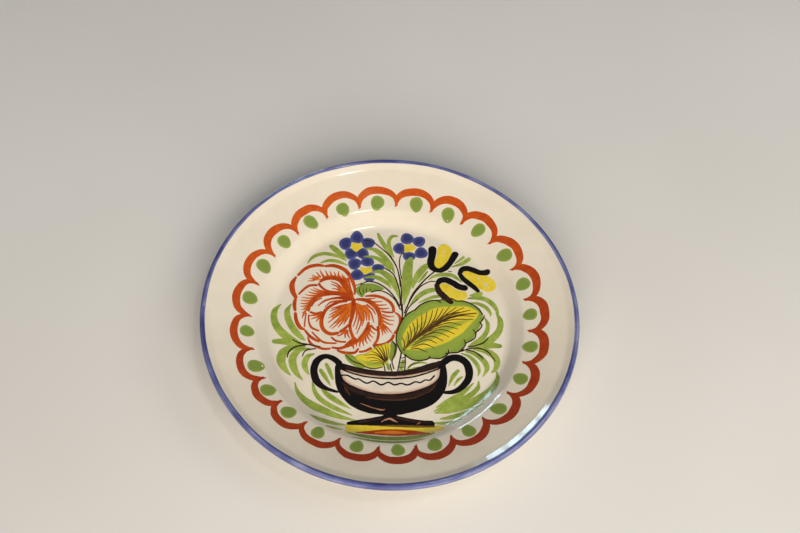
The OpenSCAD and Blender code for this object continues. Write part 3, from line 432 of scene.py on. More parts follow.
# ---------------------------------------------------------------- materials
class Shader:
    """A node tree that is built one node at a time."""

    def __init__(self, name):
        self.material = bpy.data.materials.new(name)
        self.material.use_nodes = True
        self.nodes = self.material.node_tree.nodes
        self.links = self.material.node_tree.links
        self.surface = self.nodes["Principled BSDF"]
        self.place = self.add("TexCoord").outputs["Object"]

    def add(self, kind, settings=None, **inputs):
        node = self.nodes.new("ShaderNode" + kind)
        for key, value in (settings or {}).items():
            setattr(node, key, value)
        for key, value in inputs.items():
            self.feed(node, key.replace("_", " "), value)
        return node

    def feed(self, node, key, value):
        socket = node.inputs[int(key)] if key.isdigit() else node.inputs[key]
        if isinstance(value, bpy.types.NodeSocket):
            self.links.new(value, socket)
        else:
            socket.default_value = value

    def noise(self, scale, detail=2.0, stretch=None, vector=None, rough=0.5):
        at = vector or self.place
        if stretch:
            at = self.add("Mapping", Vector=at, Scale=stretch).outputs[0]
        return self.add("TexNoise", Vector=at, Scale=scale, Detail=detail, Roughness=rough).outputs["Fac"]

    def math(self, operation, a, b=0.0, clamp=False):
        node = self.add("Math", {"operation": operation, "use_clamp": clamp})
        self.feed(node, "0", a)
        self.feed(node, "1", b)
        return node.outputs[0]

    def hypot(self, a, b):
        squares = [self.math("POWER", v, 2.0) for v in (a, b)]
        return self.math("POWER", self.math("ADD", *squares), 0.5)

    def attribute(self, name):
        return self.add("Attribute", {"attribute_name": name}).outputs["Fac"]

    def band(self, value, low, high, out_low=0.0, out_high=1.0):
        """value taken from low..high to out_low..out_high, eased and held at both ends."""
        ends = {"From_Min": low, "From_Max": high, "To_Min": out_low, "To_Max": out_high}
        node = self.add("MapRange", {"interpolation_type": "SMOOTHSTEP"}, Value=value, **ends)
        return node.outputs["Result"]

    def mix(self, share, a, b):
        node = self.add("Mix", {"data_type": "RGBA"})
        for index, value in ((0, share), (6, a), (7, b)):
            self.feed(node, str(index), value)
        return node.outputs[2]

    def ramp(self, value, stops):
        node = self.add("ValToRGB", Fac=value)
        elements = node.color_ramp.elements
        while len(elements) < len(stops):
            elements.new(0.5)
        for element, (at, colour) in zip(elements, stops):
            element.position = at
            element.color = linear(colour)
        return node.outputs["Color"]

    def bump(self, height, distance, normal=None):
        node = self.add("Bump", Height=height, Distance=distance, Strength=1.0)
        if normal:
            self.links.new(normal, node.inputs["Normal"])
        return node.outputs["Normal"]

    def finish(self, colour, normal, roughness, **fixed):
        self.feed(self.surface, "Base Color", colour)
        self.feed(self.surface, "Roughness", roughness)
        if normal:
            self.feed(self.surface, "Normal", normal)
        for key, value in fixed.items():
            self.surface.inputs[key.replace("_", " ")].default_value = value
        return self.material


def linear(colour):
    """sRGB bytes to a linear colour with alpha."""
    shares = [c / 255 for c in colour]
    return (*(c / 12.92 if c < 0.04045 else ((c + 0.055) / 1.055) ** 2.4 for c in shares), 1.0)


GLOSS = {"Coat_Weight": 0.5, "Coat_Roughness": 0.03, "Coat_IOR": 1.5}


def glaze_relief(sh, extra=None):
    """The shared skin of the fired glaze: slow waves and a faint orange peel."""
    waves = sh.noise(38, 1.5)
    peel = sh.noise(330, 2)
    normal = sh.bump(waves, 0.0006)
    normal = sh.bump(peel, 0.00003, normal)
    return sh.bump(extra, 0.00008, normal) if extra else normal


def specks(sh, scale, radius, share, seed):
    """Small round marks: 1 inside a mark. share is how many of the cells have one."""
    at = sh.add("Mapping", Vector=sh.place, Location=(seed, seed * 2, seed * 3)).outputs[0]
    cells = sh.add("TexVoronoi", {"feature": "F1"}, Vector=at, Scale=scale)
    lot = sh.add("SeparateColor", Color=cells.outputs["Color"]).outputs
    reach = radius * scale
    chosen = sh.math("LESS_THAN", lot[0], share)
    size = sh.math("ADD", sh.math("MULTIPLY", lot[1], reach), reach * 0.3)
    round_mark = sh.band(cells.outputs["Distance"], reach * 0.35, reach * 0.9, 1.0, 0.0)
    small_mark = sh.math("LESS_THAN", cells.outputs["Distance"], size)
    return sh.math("MULTIPLY", sh.math("MULTIPLY", round_mark, small_mark), chosen)


def white_glaze():
    sh = Shader("white_glaze")
    cloud = sh.noise(22, 4)
    fine = sh.noise(160, 3)
    tint = sh.math("ADD", sh.math("MULTIPLY", cloud, 0.7), sh.math("MULTIPLY", fine, 0.3))
    colour = sh.ramp(tint, [(0.3, (226, 215, 195)), (0.5, (231, 221, 202)), (0.7, (234, 225, 208))])
    brown = specks(sh, 55, 0.00032, 0.10, 1.3)
    colour = sh.mix(sh.math("MULTIPLY", brown, 0.75), colour, linear((120, 88, 58)))
    grey = specks(sh, 110, 0.00018, 0.12, 4.1)
    colour = sh.mix(sh.math("MULTIPLY", grey, 0.45), colour, linear((150, 135, 118)))
    pits = specks(sh, 75, 0.00025, 0.14, 7.7)
    normal = glaze_relief(sh, sh.math("MULTIPLY", pits, -1.0))
    rough = sh.band(sh.noise(90, 3), 0.3, 0.7, 0.10, 0.17)
    return sh.finish(colour, normal, rough, **GLOSS)


def enamel(name, thin, middle, thick, mottle, streak, bubbles=0.0):
    """Brushed colour: thin and thick are its washed and its pooled shade."""
    sh = Shader(name)
    along = sh.add("UVMap", {"uv_map": "stroke"}).outputs["UV"]
    clouds = sh.math("SUBTRACT", sh.noise(210, 3), 0.5)
    hairs = sh.math("SUBTRACT", sh.noise(6, 2, (0.5, 5.5, 1), along), 0.5)
    depth = sh.math("ADD", sh.attribute("tone"), sh.math("MULTIPLY", clouds, mottle * 2))
    depth = sh.math("ADD", depth, sh.math("MULTIPLY", hairs, streak * 2), clamp=True)
    colour = sh.ramp(depth, [(0.12, thin), (0.5, middle), (0.88, thick)])
    if bubbles:
        marks = specks(sh, 120, 0.0004, bubbles, 2.9)
        colour = sh.mix(sh.math("MULTIPLY", marks, 0.6), colour, linear((236, 226, 208)))
    rough = sh.band(sh.noise(120, 2), 0.3, 0.7, 0.11, 0.2)
    return sh.finish(colour, glaze_relief(sh, depth), rough, **GLOSS)


def two_tone(name, outer, between, inner, reach, mottle):
    """Wet colours that run into each other: outer at the shape's edge, inner beyond reach millimetres."""
    sh = Shader(name)
    drift = sh.math("MULTIPLY", sh.math("SUBTRACT", sh.noise(170, 3), 0.5), mottle * reach * 2)
    depth = sh.math("DIVIDE", sh.math("ADD", sh.attribute("edge"), drift), reach, clamp=True)
    colour = sh.ramp(depth, [(0.05, outer), (0.5, between), (0.95, inner)])
    shade = sh.band(sh.noise(90, 3), 0.35, 0.75, 0.0, 0.22)
    colour = sh.mix(shade, colour, linear(tuple(c * 0.82 for c in between)))
    return sh.finish(colour, glaze_relief(sh), sh.band(sh.noise(120, 2), 0.3, 0.7, 0.11, 0.19), **GLOSS)


def blue_band_enamel():
    """Blue drawn round the lip on the wheel: long streaks, paler where the glaze ran off the edge."""
    sh = Shader("blue_band")
    x, y, z = sh.add("SeparateXYZ", Vector=sh.place).outputs
    turn = sh.math("MULTIPLY", sh.math("ARCTAN2", y, x), 0.25)
    radius = sh.math("MULTIPLY", sh.hypot(x, y), 60.0)
    at = sh.add("CombineXYZ", X=turn, Y=radius, Z=sh.math("MULTIPLY", z, 60.0)).outputs[0]
    streaks = sh.add("TexNoise", Vector=at, Scale=9.0, Detail=3.0).outputs["Fac"]
    patches = sh.noise(60, 3)
    depth = sh.math("ADD", sh.math("MULTIPLY", streaks, 0.7), sh.math("MULTIPLY", patches, 0.5), clamp=True)
    colour = sh.ramp(depth, [(0.42, (150, 154, 186)), (0.56, (102, 108, 158)), (0.72, (62, 66, 124))])
    colour = sh.mix(sh.band(sh.attribute("edge"), 0.0, 0.5, 0.35, 0.0), colour, linear((170, 172, 200)))
    pale = specks(sh, 130, 0.0004, 0.2, 5.3)
    colour = sh.mix(sh.math("MULTIPLY", pale, 0.5), colour, linear((205, 205, 215)))
    return sh.finish(colour, glaze_relief(sh, streaks), sh.band(patches, 0.3, 0.7, 0.10, 0.2), **GLOSS)


def biscuit():
    """Bare fired clay at the foot ring: sandy grain and faint turning rings."""
    sh = Shader("biscuit_clay")
    grain = sh.noise(900, 4, rough=0.65)
    cloud = sh.noise(45, 3)
    colour = sh.ramp(sh.math("ADD", sh.math("MULTIPLY", grain, 0.6), sh.math("MULTIPLY", cloud, 0.4)),
                     [(0.35, (150, 108, 76)), (0.5, (186, 142, 104)), (0.66, (205, 168, 130))])
    grit = specks(sh, 260, 0.0003, 0.25, 3.3)
    colour = sh.mix(sh.math("MULTIPLY", grit, 0.6), colour, linear((110, 72, 50)))
    x, y, _ = sh.add("SeparateXYZ", Vector=sh.place).outputs
    rings = sh.math("SINE", sh.math("MULTIPLY", sh.hypot(x, y), 9000.0))
    relief = sh.math("ADD", grain, sh.math("MULTIPLY", rings, 0.15))
    return sh.finish(colour, sh.bump(relief, 0.00012), sh.band(cloud, 0.3, 0.7, 0.8, 0.95))


def paper_floor():
    sh = Shader("pale_floor")
    cloud = sh.noise(3, 3)
    fibre = sh.noise(400, 3)
    colour = sh.ramp(cloud, [(0.3, (216, 213, 208)), (0.7, (224, 222, 218))])
    return sh.finish(colour, sh.bump(fibre, 0.00005), 0.85)


# ---------------------------------------------------------------- the painting, in millimetres
# Strokes are (x, y, width) points; outlines are (x, y) points
BOWL = [
    (-33, -28.8), (-20, -32), (-8, -34), (4, -34.3), (14, -32.3), (24, -29.5), (35, -25.6), (37.3, -31),
    (38, -38), (36.9, -46), (33.6, -52.3), (28, -58), (20, -62), (10, -65), (4, -65.9), (-5, -65.8),
    (-15, -64.4), (-25, -59.6), (-31.7, -52), (-34.8, -45), (-35.7, -37), (-35.5, -31),
]
PANEL = [
    (-31.3, -33.6), (-20, -36.2), (-8, -37.8), (4, -37.9), (14, -36.6), (24, -34), (32.2, -31.4),
    (33, -34), (31.4, -39.5), (25.4, -44.6), (14, -49), (2, -51), (-10, -50.2), (-20, -47.3),
    (-28.3, -42.8), (-31, -38.5),
]
PANEL_LINES = [
    [(-31, -33.6, 1.2), (-25, -36.1, 1.1), (-15, -38.7, 1.1), (0, -39.8, 1.2), (12, -38.8, 1.2),
     (22, -36.2, 1.1), (32.4, -31.8, 1.1)],
    [(-31.4, -38, 1), (-27.4, -38, 1.1), (-22.5, -40.6, 1.2), (-20, -40.4, 1), (-14.8, -43.4, 1.2),
     (-10.4, -41.8, 1.1), (-5.4, -44.4, 1.3), (-0.8, -42.5, 1.1), (3.4, -44.3, 1.2), (7.6, -43.1, 1.1),
     (12, -44.2, 1.2), (17, -41.8, 1.1), (20, -42.4, 1.1), (23.4, -40.3, 1), (26.4, -40.4, 1.1),
     (29.4, -37.2, 1.2)],
]
HANDLE_LEFT = [
    (-33, -29.2, 4.2), (-36, -26.4, 4), (-40.8, -24.2, 3.6), (-45, -25.2, 4.1), (-48, -28.4, 4.7),
    (-49.4, -33.4, 4.9), (-48.9, -38.4, 5), (-47.2, -42.6, 4.9), (-44, -46, 3.8), (-40, -48.2, 2.6),
    (-35.6, -49.6, 1.9), (-33.5, -50, 1.6),
]
HANDLE_RIGHT = [
    (34.4, -28.4, 4.2), (36.6, -26.4, 4.8), (39.4, -24.3, 4.8), (43, -23.4, 5), (47.2, -24.3, 5.2),
    (50.8, -27.6, 5.1), (52.4, -33, 5.2), (51.8, -38.6, 4.8), (49.2, -43, 4.4), (45.2, -46.8, 3.8),
    (40.8, -48.8, 3), (36.4, -49.2, 2.4),
]
FOOT_SHAPE = [
    (-27.2, -73.6), (-27, -71.4), (-22, -70.2), (-12, -68.3), (-5, -66.8), (-3, -65.6), (4, -65.6),
    (6.4, -66.8), (14, -68.4), (22, -69.4), (27.8, -69.5), (29.4, -71.4), (29, -73.2), (10, -72.8),
    (-8, -73.4),
]
GROUND_GREEN_STROKES = [
    [(-26, -80.6, 1.6), (-14, -83, 3.6), (2, -84, 4), (16, -83.2, 3.8), (28, -80, 1.6)],
    [(-23, -84.6, 0.8), (-10, -87, 1.9), (2, -87.8, 2.1), (12, -87.2, 1.8), (22, -85, 0.8)],
]
ROSE_OUTER = [
    [(-62.8, 38.6, 1.9), (-57.4, 44.4, 2.6), (-50.5, 46.8, 2.7), (-45.8, 46.4, 1.9)],
    [(-44.2, 46.2, 2.1), (-38, 46.6, 2.8), (-31, 43.2, 3), (-26.6, 37, 2.8), (-24, 29, 2.1),
     (-24, 24, 1.2)],
    [(-64.4, 36.6, 1.6), (-66.6, 31.6, 3.5), (-66.2, 26, 3.7), (-63.8, 20.8, 2.6)],
    [(-64, 18.6, 2.3), (-64.4, 15, 2.6), (-63.8, 10.8, 2.1)],
    [(-63.4, 8, 2.2), (-62.6, 2.8, 2.6), (-60, -2.6, 2.6), (-57.4, -4, 1.9)],
    [(-56.2, -5.2, 1.6), (-53.6, -8.6, 2.1), (-50.4, -11.2, 2.1), (-47.2, -13, 1.9)],
    [(-54.4, -10, 0.9), (-52.4, -14.4, 1.9), (-48.2, -17.4, 1.6), (-43.4, -18.6, 1.9), (-39.6, -18.3, 1.6)],
    [(-37.9, -17.4, 1.4), (-33.3, -18, 2.1), (-29.2, -16.6, 2.3), (-26.4, -15, 2.8), (-24, -11.6, 3.5)],
    [(-34.4, -19.6, 1.2), (-30.8, -21, 2.2), (-26.7, -21.4, 2.2), (-22.9, -20.8, 1.9), (-20.9, -18.4, 1.6)],
    [(-19.6, -20.3, 1.6), (-16.2, -19.7, 1.7), (-12.6, -17.6, 2.1)],
    [(-10.2, -15.2, 2.3), (-5.8, -14.5, 1.6), (-1.7, -13, 1.9), (1.6, -10, 2.1), (2.6, -7.6, 1.9)],
    [(-16.6, 22.6, 1.2), (-10.8, 23.2, 2.2), (-5, 21.8, 2.2), (-0.4, 18.8, 2.2), (2.1, 15, 2.2),
     (2.8, 11.2, 2.1)],
]
ROSE_INNER = [
    [(-50, 30.6, 1.8), (-54.6, 30.2, 1.9), (-58, 27.8, 1.8), (-61.6, 23.4, 1.4)],
    [(-47.6, 33.4, 1.8), (-44.4, 36, 3), (-39.4, 36.8, 3.2), (-34.4, 35.2, 3.6), (-30.4, 31, 4.6),
     (-27.6, 25.6, 4.6), (-25.8, 21, 3)],
    [(-48.4, 31.6, 1.8), (-46, 28.6, 1.7), (-42.4, 26.2, 1.8), (-38, 25.6, 1.6)],
    [(-27, 22, 3.4), (-32.4, 24, 3.6), (-38, 24.6, 3.5), (-44, 23.8, 3.4), (-49, 21.6, 3.2),
     (-52.6, 18, 2.8), (-54.2, 14, 2.3), (-54.6, 10.6, 1.8)],
    [(-53.2, 9.2, 1.6), (-49.6, 8.2, 1.9), (-46.2, 9.4, 1.8)],
    [(-27.4, 20.4, 3.6), (-32, 21, 2.6), (-38, 20.4, 1.7), (-44, 18.4, 1.5), (-48.4, 14.4, 0.9)],
    [(-29.6, 18.8, 2.4), (-35, 17.4, 2.2), (-40, 14.4, 2.2), (-43.8, 10, 2.6), (-45.7, 4.4, 2.9),
     (-45.4, -1.2, 2.8), (-43, -5.4, 2.7), (-38.9, -7.2, 2.7), (-34.6, -6.4, 2.3)],
    [(-32.8, -5.2, 2), (-29.8, -2.8, 2), (-27.6, 0, 1.7)],
    [(-24.6, 19.4, 3.2), (-24.6, 13, 3), (-25.4, 6.4, 2.8), (-26.6, 0.6, 2.2), (-26, -5, 2.2),
     (-24, -10.4, 2.2)],
    [(-14.2, 1.8, 1.8), (-15, -2, 2.5), (-17.1, -6.2, 2.6), (-19.6, -9.9, 2.4), (-22, -12.2, 1.9)],
    [(-12.6, -0.4, 1.6), (-10.6, -2.4, 1.6), (-8.8, -3.6, 1.4)],
    [(-7.8, -1.4, 2), (-7.4, -6.2, 1.9), (-8.2, -11, 1.9), (-9.8, -14, 2)],
    [(-22.2, 20, 1.8), (-16.6, 19.6, 3), (-11.6, 16.8, 3.5), (-8.2, 12.2, 3.1), (-6.5, 6, 2.9),
     (-6.7, 0.4, 2.2)],
    [(1.8, 10.3, 1.4), (-2, 10.3, 1.6), (-5, 11, 1.6)],
    [(4, 10, 1.2), (6.6, 7.4, 1.9), (7, 2.8, 2), (5.4, -2, 1.4), (3.6, -5.6, 2)],
    [(-57, -2, 1), (-56.9, 2, 1.1), (-56.3, 8.4, 1)],
    [(-54.4, 7, 1.1), (-54.2, 2, 1.3), (-52, -2.6, 1.6), (-47.6, -4.8, 1.5)],
    [(-51.6, -6.2, 1.1), (-48.2, -10, 1.3), (-44.6, -13.2, 1.5), (-40.6, -14.2, 1.5), (-35.6, -14.2, 1.2)],
    [(-38.6, -9.8, 1.2), (-36, -12.2, 1.5), (-32.8, -13, 1.5), (-29.4, -13, 1.4)],
    [(-29, -15.4, 1.6), (-26, -13.6, 3.8), (-23.6, -11, 3.4)],
    [(-52.6, 14, 0.9), (-50.8, 17.6, 1.2), (-46.4, 20.4, 1)],
]
FLOWERS = [
    ((-23.2, 62.8),
     [(-23.2, 70.6, 10.4, 9.2), (-31.2, 65.2, 9, 10.6), (-15.2, 66, 9.6, 9.2), (-27.2, 56.6, 9.6, 9),
      (-19, 57, 9.6, 8.6)]),
    ((-16.4, 43.4),
     [(-15.6, 50.8, 8.4, 9.4), (-24.6, 48.6, 9, 9.6), (-22.8, 39.5, 9.8, 8.4), (-8.2, 45.4, 9, 7),
      (-14, 38, 8, 8.6)]),
    ((14, 62.2),
     [(11.8, 70.4, 9.4, 9.4), (20.4, 68.2, 9.2, 8.6), (6.2, 62, 8.4, 9.2), (21.8, 58.6, 9.2, 9.2),
      (13.2, 55.4, 8, 9)]),
]
STAR_SHAPES = [
    [(-27.2, 66.4), (-22, 65.6), (-19.6, 66), (-19, 62.4), (-23.6, 57.6), (-27.4, 61.4)],
    [(-20, 46.6), (-17, 45.2), (-12.8, 46.6), (-12.2, 42.8), (-17, 39.4), (-20.8, 43.6)],
    [(10, 65.2), (14.8, 66.4), (18.8, 62.6), (15, 59.8), (10, 58.4), (9.8, 62)],
]
TULIP_YELLOW = [
    [(33.2, 62), (35, 65.2), (38.6, 66.2), (41.8, 64), (43, 60), (42, 56), (40, 51.6), (36.6, 47.6),
     (33, 46), (30.6, 47.6), (30.6, 51), (32.4, 56)],
    [(50.2, 43.8), (55, 44), (60, 42), (66, 41.2), (70.4, 37.8), (72.6, 33.4), (71.6, 30), (68.4, 28.2),
     (64.6, 28.8), (60.6, 31), (55.6, 35.6), (51.2, 40)],
    [(33.8, 32.8), (37.4, 34.2), (41, 32.6), (44.6, 29.8), (48, 28.4), (51.8, 27.6), (52.8, 24),
     (51, 21.2), (47, 20.2), (43.6, 20.6), (41.6, 22.2), (38, 25.6), (35, 29)],
]
TULIP_BLACK = [
    [(29.5, 61.6, 5.8), (29.2, 56.4, 5.3), (28.2, 51.4, 5), (29.2, 47.2, 5), (32.4, 44.7, 3.8),
     (35.6, 44.6, 3.4)],
    [(45.4, 57.9, 4.9), (43.2, 54, 4.6), (40.8, 50, 4.4), (38.2, 46.6, 4.4), (35, 44.6, 3.8)],
    [(48.2, 42.6, 3), (49.8, 45.6, 3.9), (53.4, 46.6, 4.3), (58, 45.2, 4.1), (62.4, 43.3, 4),
     (67, 43.4, 4.3)],
    [(48, 42.2, 3), (50.2, 38.4, 3.6), (54.2, 34.6, 3.8), (57.9, 31.3, 3.5), (60.2, 28.7, 2.8)],
    [(32.6, 33.4, 3), (34.4, 36.2, 4.3), (38.4, 36.9, 4.7), (43, 34.7, 4.7), (47.4, 31.7, 4.7),
     (51.3, 30.8, 4.6)],
    [(32.2, 32.4, 3.6), (33.4, 28, 4.3), (36.6, 24, 4.7), (39.6, 20.9, 4.6), (41.3, 19.5, 4.1)],
]
LEAF_SHAPE = [
    (8, -20.6), (4.6, -11), (6.4, -1), (10.6, 8), (17.6, 13.6), (25.8, 19.9), (34.4, 21), (42, 21.6),
    (50, 20.2), (57.6, 16.8), (62.6, 11), (61.8, 3.6), (58, -4.2), (55.6, -9), (50, -13.8), (46.4, -18.2),
    (39, -20.8), (33.6, -24.6), (27, -24.6), (20.8, -26), (14, -25.2),
]
LEAF_YELLOW = [
    (9, -17.4), (7.6, -11), (9.6, -4.6), (13, 2), (18.4, 7.4), (25, 12), (32.4, 15.4), (42, 16.4),
    (51.4, 16.6), (57, 14.8), (60.6, 11.4), (58.8, 7), (54.4, 1.4), (48.6, -5), (42.4, -9.8), (34.6, -14),
    (26, -17.2), (16.6, -18.8),
]
SMALL_HEART = [
    (-22.6, -25), (-20, -22.2), (-16, -21.4), (-12, -18.4), (-8.6, -16), (-5, -14.6), (-1.6, -13.2),
    (0.8, -15.4), (0.4, -21), (-1.4, -28), (-5, -31), (-9.4, -32.4), (-14, -31.8), (-18.6, -29),
]
SMALL_GREEN = [
    [(-29.6, -21.8), (-25.6, -22.4), (-21.8, -25), (-18.6, -29), (-16, -32), (-20, -32), (-25, -29.6),
     (-28.4, -26)],
    [(0.8, -12.6), (3, -14), (3.6, -18), (2.8, -22.8), (1, -26.6), (-0.2, -24), (0.9, -18)],
]
SMALL_LEAF_STROKES = [
    [(1.8, -11.8, 0.8), (4, -14.8, 1.3), (4, -19, 1.7), (3, -23.2, 1.3), (1.6, -27, 0.9), (2.8, -32.4, 1)],
    [(-28.8, -23, 0.6), (-25, -26.8, 0.9), (-22, -28.6, 0.9), (-18.4, -29.6, 0.9), (-14.4, -32, 0.9),
     (-9.4, -32.7, 0.9), (-4.6, -31.4, 0.7)],
    [(-2.6, -27.6, 0.68), (-6, -21.8, 1.02), (-9, -17.6, 0.82), (-10.8, -16, 0.48)],
    [(-2.4, -27, 0.61), (-5, -20, 0.88), (-8, -15.8, 0.48)],
    [(-2.2, -26.4, 0.68), (-3.8, -19.4, 0.75), (-5.8, -15, 0.41)],
    [(-1.8, -26.4, 0.61), (-2.2, -19, 0.61), (-3.2, -14.4, 0.34)],
    [(-1.4, -26, 0.54), (-0.8, -19.6, 0.54), (-1.4, -15.4, 0.34)],
    [(-3, -27.4, 0.61), (-7.6, -22, 0.75), (-12, -19.8, 0.41)],
    [(-3.2, -27.4, 0.61), (-9, -22.6, 0.68), (-16.4, -22.8, 0.41)],
    [(-3.4, -28, 0.54), (-9.6, -24.6, 0.61), (-15.4, -25, 0.34)],
    [(-3.6, -28.6, 0.54), (-9, -26.6, 0.54), (-13, -27.2, 0.34)],
    [(-4, -29.4, 0.48), (-8, -28.4, 0.41), (-11, -29, 0.27)],
]
SMALL_WASH = [(-19, -26.8, 2), (-14, -29, 4.6), (-8, -29.4, 4.4), (-3.6, -28.8, 2)]
CURLED_SHAPE = [
    (-23, 25.6), (-22.6, 29.4), (-19, 32), (-13, 32.9), (-7.6, 31.4), (-4, 28.6), (-8, 27.4), (-13, 26.4),
    (-16.4, 25), (-18.4, 21.8), (-20.8, 23),
]
CURLED_VEINS = [
    [(-20.2, 29.8, 0.6), (-20.8, 27, 0.9), (-20, 25, 0.9), (-19, 23.4, 0.7)],
    [(-17.6, 30, 0.5), (-18.4, 27.8, 0.8), (-18, 25.4, 0.8)],
    [(-15.4, 30, 0.5), (-16.2, 28, 0.8), (-15.8, 26.2, 0.8)],
    [(-13, 29.8, 0.5), (-13.6, 28.2, 0.7), (-13, 27.2, 0.7)], [(-10.2, 29, 0.5), (-10.2, 28.2, 0.6)],
]
LEFT_FRONDS = [
    [(-73.4, 15, 0.8), (-77.2, 10, 3.6), (-77.4, 3, 4.6), (-74.4, -3.6, 5.2), (-68.6, -9.6, 5.4),
     (-61.4, -14, 3.4), (-57, -16, 1)],
    [(-66.6, 15.2, 0.9), (-69, 9.4, 3.7), (-67.4, 2, 4.5), (-63.4, -5, 4.6), (-58.4, -10.6, 3),
     (-56, -12.4, 0.8)],
    [(-76.4, -13.8, 3.2), (-71, -13.6, 4.5), (-65, -14.6, 4.3), (-60, -16, 2)],
    [(-56, -17, 1), (-63.4, -17.8, 4), (-69.8, -21.6, 5.8), (-71.3, -27.6, 5.9), (-69.2, -33, 4.4),
     (-64.6, -38.6, 0.8)],
    [(-53, -18.4, 0.9), (-59.6, -19.9, 3.5), (-63.5, -25.2, 5.1), (-63.2, -31.2, 5.1), (-60.6, -37, 3.5),
     (-56.4, -42, 0.7)],
    [(-50, -22.6, 1.2), (-53.7, -24.5, 3.3), (-55.7, -29, 4), (-54.8, -34, 3.2), (-52.4, -38, 0.7)],
    [(-41.4, -30.2, 2.4), (-39.4, -34.6, 2.8), (-37, -40.6, 1.8)],
    [(-45, -34.6, 2.5), (-42.4, -38.6, 2.9), (-40, -42.6, 1.9), (-38.4, -45.4, 0.7)],
]
RIGHT_FRONDS = [
    [(53, 22.2, 0.8), (58, 23.2, 3), (64.6, 22.2, 3.5), (69.8, 18.4, 3.5), (72.8, 13, 2.5),
     (73.4, 10, 0.9)],
    [(54.4, 19, 0.7), (60, 18.4, 2.5), (65.2, 15.6, 2.9), (68, 11.6, 2.1), (68, 8.8, 0.7)],
    [(72, 11.4, 1), (74.5, 6, 3.6), (73.9, -1, 4.4), (70.2, -6.8, 5), (64.6, -11.4, 5.2), (58, -14.6, 3),
     (54, -16, 0.9)],
    [(64, 7.6, 0.7), (65.9, 3, 2.6), (65.2, -3, 3.1), (61.6, -8.4, 3.4), (56, -12.4, 2.4), (52, -15, 0.8)],
    [(73.4, -14, 3.1), (68.4, -13.7, 4.3), (62, -14.7, 3.6), (57, -16, 1.6)],
    [(56, -16.8, 1.4), (63.2, -17.8, 4.2), (69.4, -21.8, 4.9), (71.1, -27.2, 4.2), (69.4, -32, 2.7),
     (67, -34, 0.9)],
    [(50.6, -18.7, 1), (57.4, -20.6, 3.5), (62.4, -25.6, 3.9), (64.2, -31, 3.4), (61.4, -37, 0.7)],
    [(47.6, -20, 0.8), (53.4, -22.8, 2.5), (57.4, -27.8, 2.9), (59, -32.6, 2.2), (58.2, -36.4, 0.7)],
    [(45, -33.2, 2.4), (42.2, -36.6, 3), (40.2, -40.4, 2), (38.8, -44.4, 0.6)],
    [(47.8, -37.6, 1.2), (45.2, -39.6, 2), (43.2, -42.4, 1.4), (42.2, -44.2, 0.7)],
]
TOP_FRONDS = [
    [(-40.8, 62.4, 3.2), (-37.6, 59.6, 4.2), (-33.4, 56, 3.2), (-30, 53.2, 1)],
    [(-56.8, 48.4, 0.7), (-53, 53.6, 2.4), (-46, 56.4, 2.8), (-38.4, 55.2, 2.6), (-33, 53, 2),
     (-30.2, 51, 0.8)],
    [(-47.4, 49, 1.2), (-42, 50.8, 2.4), (-35.6, 50, 2.5), (-29.4, 47.2, 0.8)],
    [(-17, 61.2, 1.2), (-12, 60.9, 2.7), (-7.6, 58.2, 3.9), (-3.6, 53.8, 3.9), (0.2, 48.6, 3.4),
     (2.8, 42.8, 1.3), (3.4, 41, 0.6)],
    [(-18, 54.8, 1.1), (-12, 54.5, 2.4), (-7.6, 52.6, 3), (-3.4, 48.8, 3), (-0.6, 45, 2), (0.4, 42.6, 0.6)],
    [(-12.6, 41.8, 1.4), (-7, 42.7, 3.3), (-1.4, 39.2, 4.7), (2.8, 33.4, 4.9), (5.2, 27, 3),
     (6.4, 21.6, 0.7)],
    [(-17, 37.4, 1.2), (-12, 38.3, 2.8), (-7, 37, 3.4), (-2, 33.4, 3), (0.8, 29.4, 0.9)],
    [(-8.4, 73.8, 1.6), (-6.8, 69.6, 3), (-4, 64.2, 3.2), (-0.8, 59, 2.5), (1.2, 55, 0.9)],
    [(4.6, 72.3, 1.5), (1.5, 72, 2.4), (-0.5, 69, 2.7), (-0.8, 65, 2.7), (0.5, 61.2, 1.9),
     (2.6, 54.4, 0.7)],
    [(14.4, 53.6, 3.2), (13, 49.4, 6), (12.1, 43, 7), (11.7, 36, 7.4), (10.9, 28, 6), (10, 20, 2.4),
     (9.6, 16.6, 0.8)],
    [(27, 49.2, 3), (23.4, 46.2, 4.8), (19.6, 41, 4.8), (17, 35.4, 3.6), (15.6, 30, 1.3)],
    [(25.8, 43.2, 1.3), (22.8, 38.8, 2), (19.4, 34.4, 0.8)],
    [(49, 35.6, 1), (44, 40, 2.8), (38, 41.3, 3), (31.4, 40.2, 2.3), (26.6, 37, 0.8)],
    [(33, 28.8, 2.6), (28, 28.4, 3.6), (22.8, 26, 3.7), (18, 21.6, 3.1), (14, 16.6, 0.9)],
    [(36.4, 23.4, 1.5), (31, 23.4, 2.4), (25.4, 21.2, 2.1), (20, 18.4, 0.8)],
    [(54.8, 24.8, 1), (59, 25.7, 3.4), (61.8, 26.4, 3.8)],
    [(45, 50.6, 0.8), (48, 52.8, 1.6), (51, 55.6, 2.1)],
    [(42.6, 47.6, 0.8), (49.4, 50.2, 2.6), (54.8, 54.2, 3)],
]
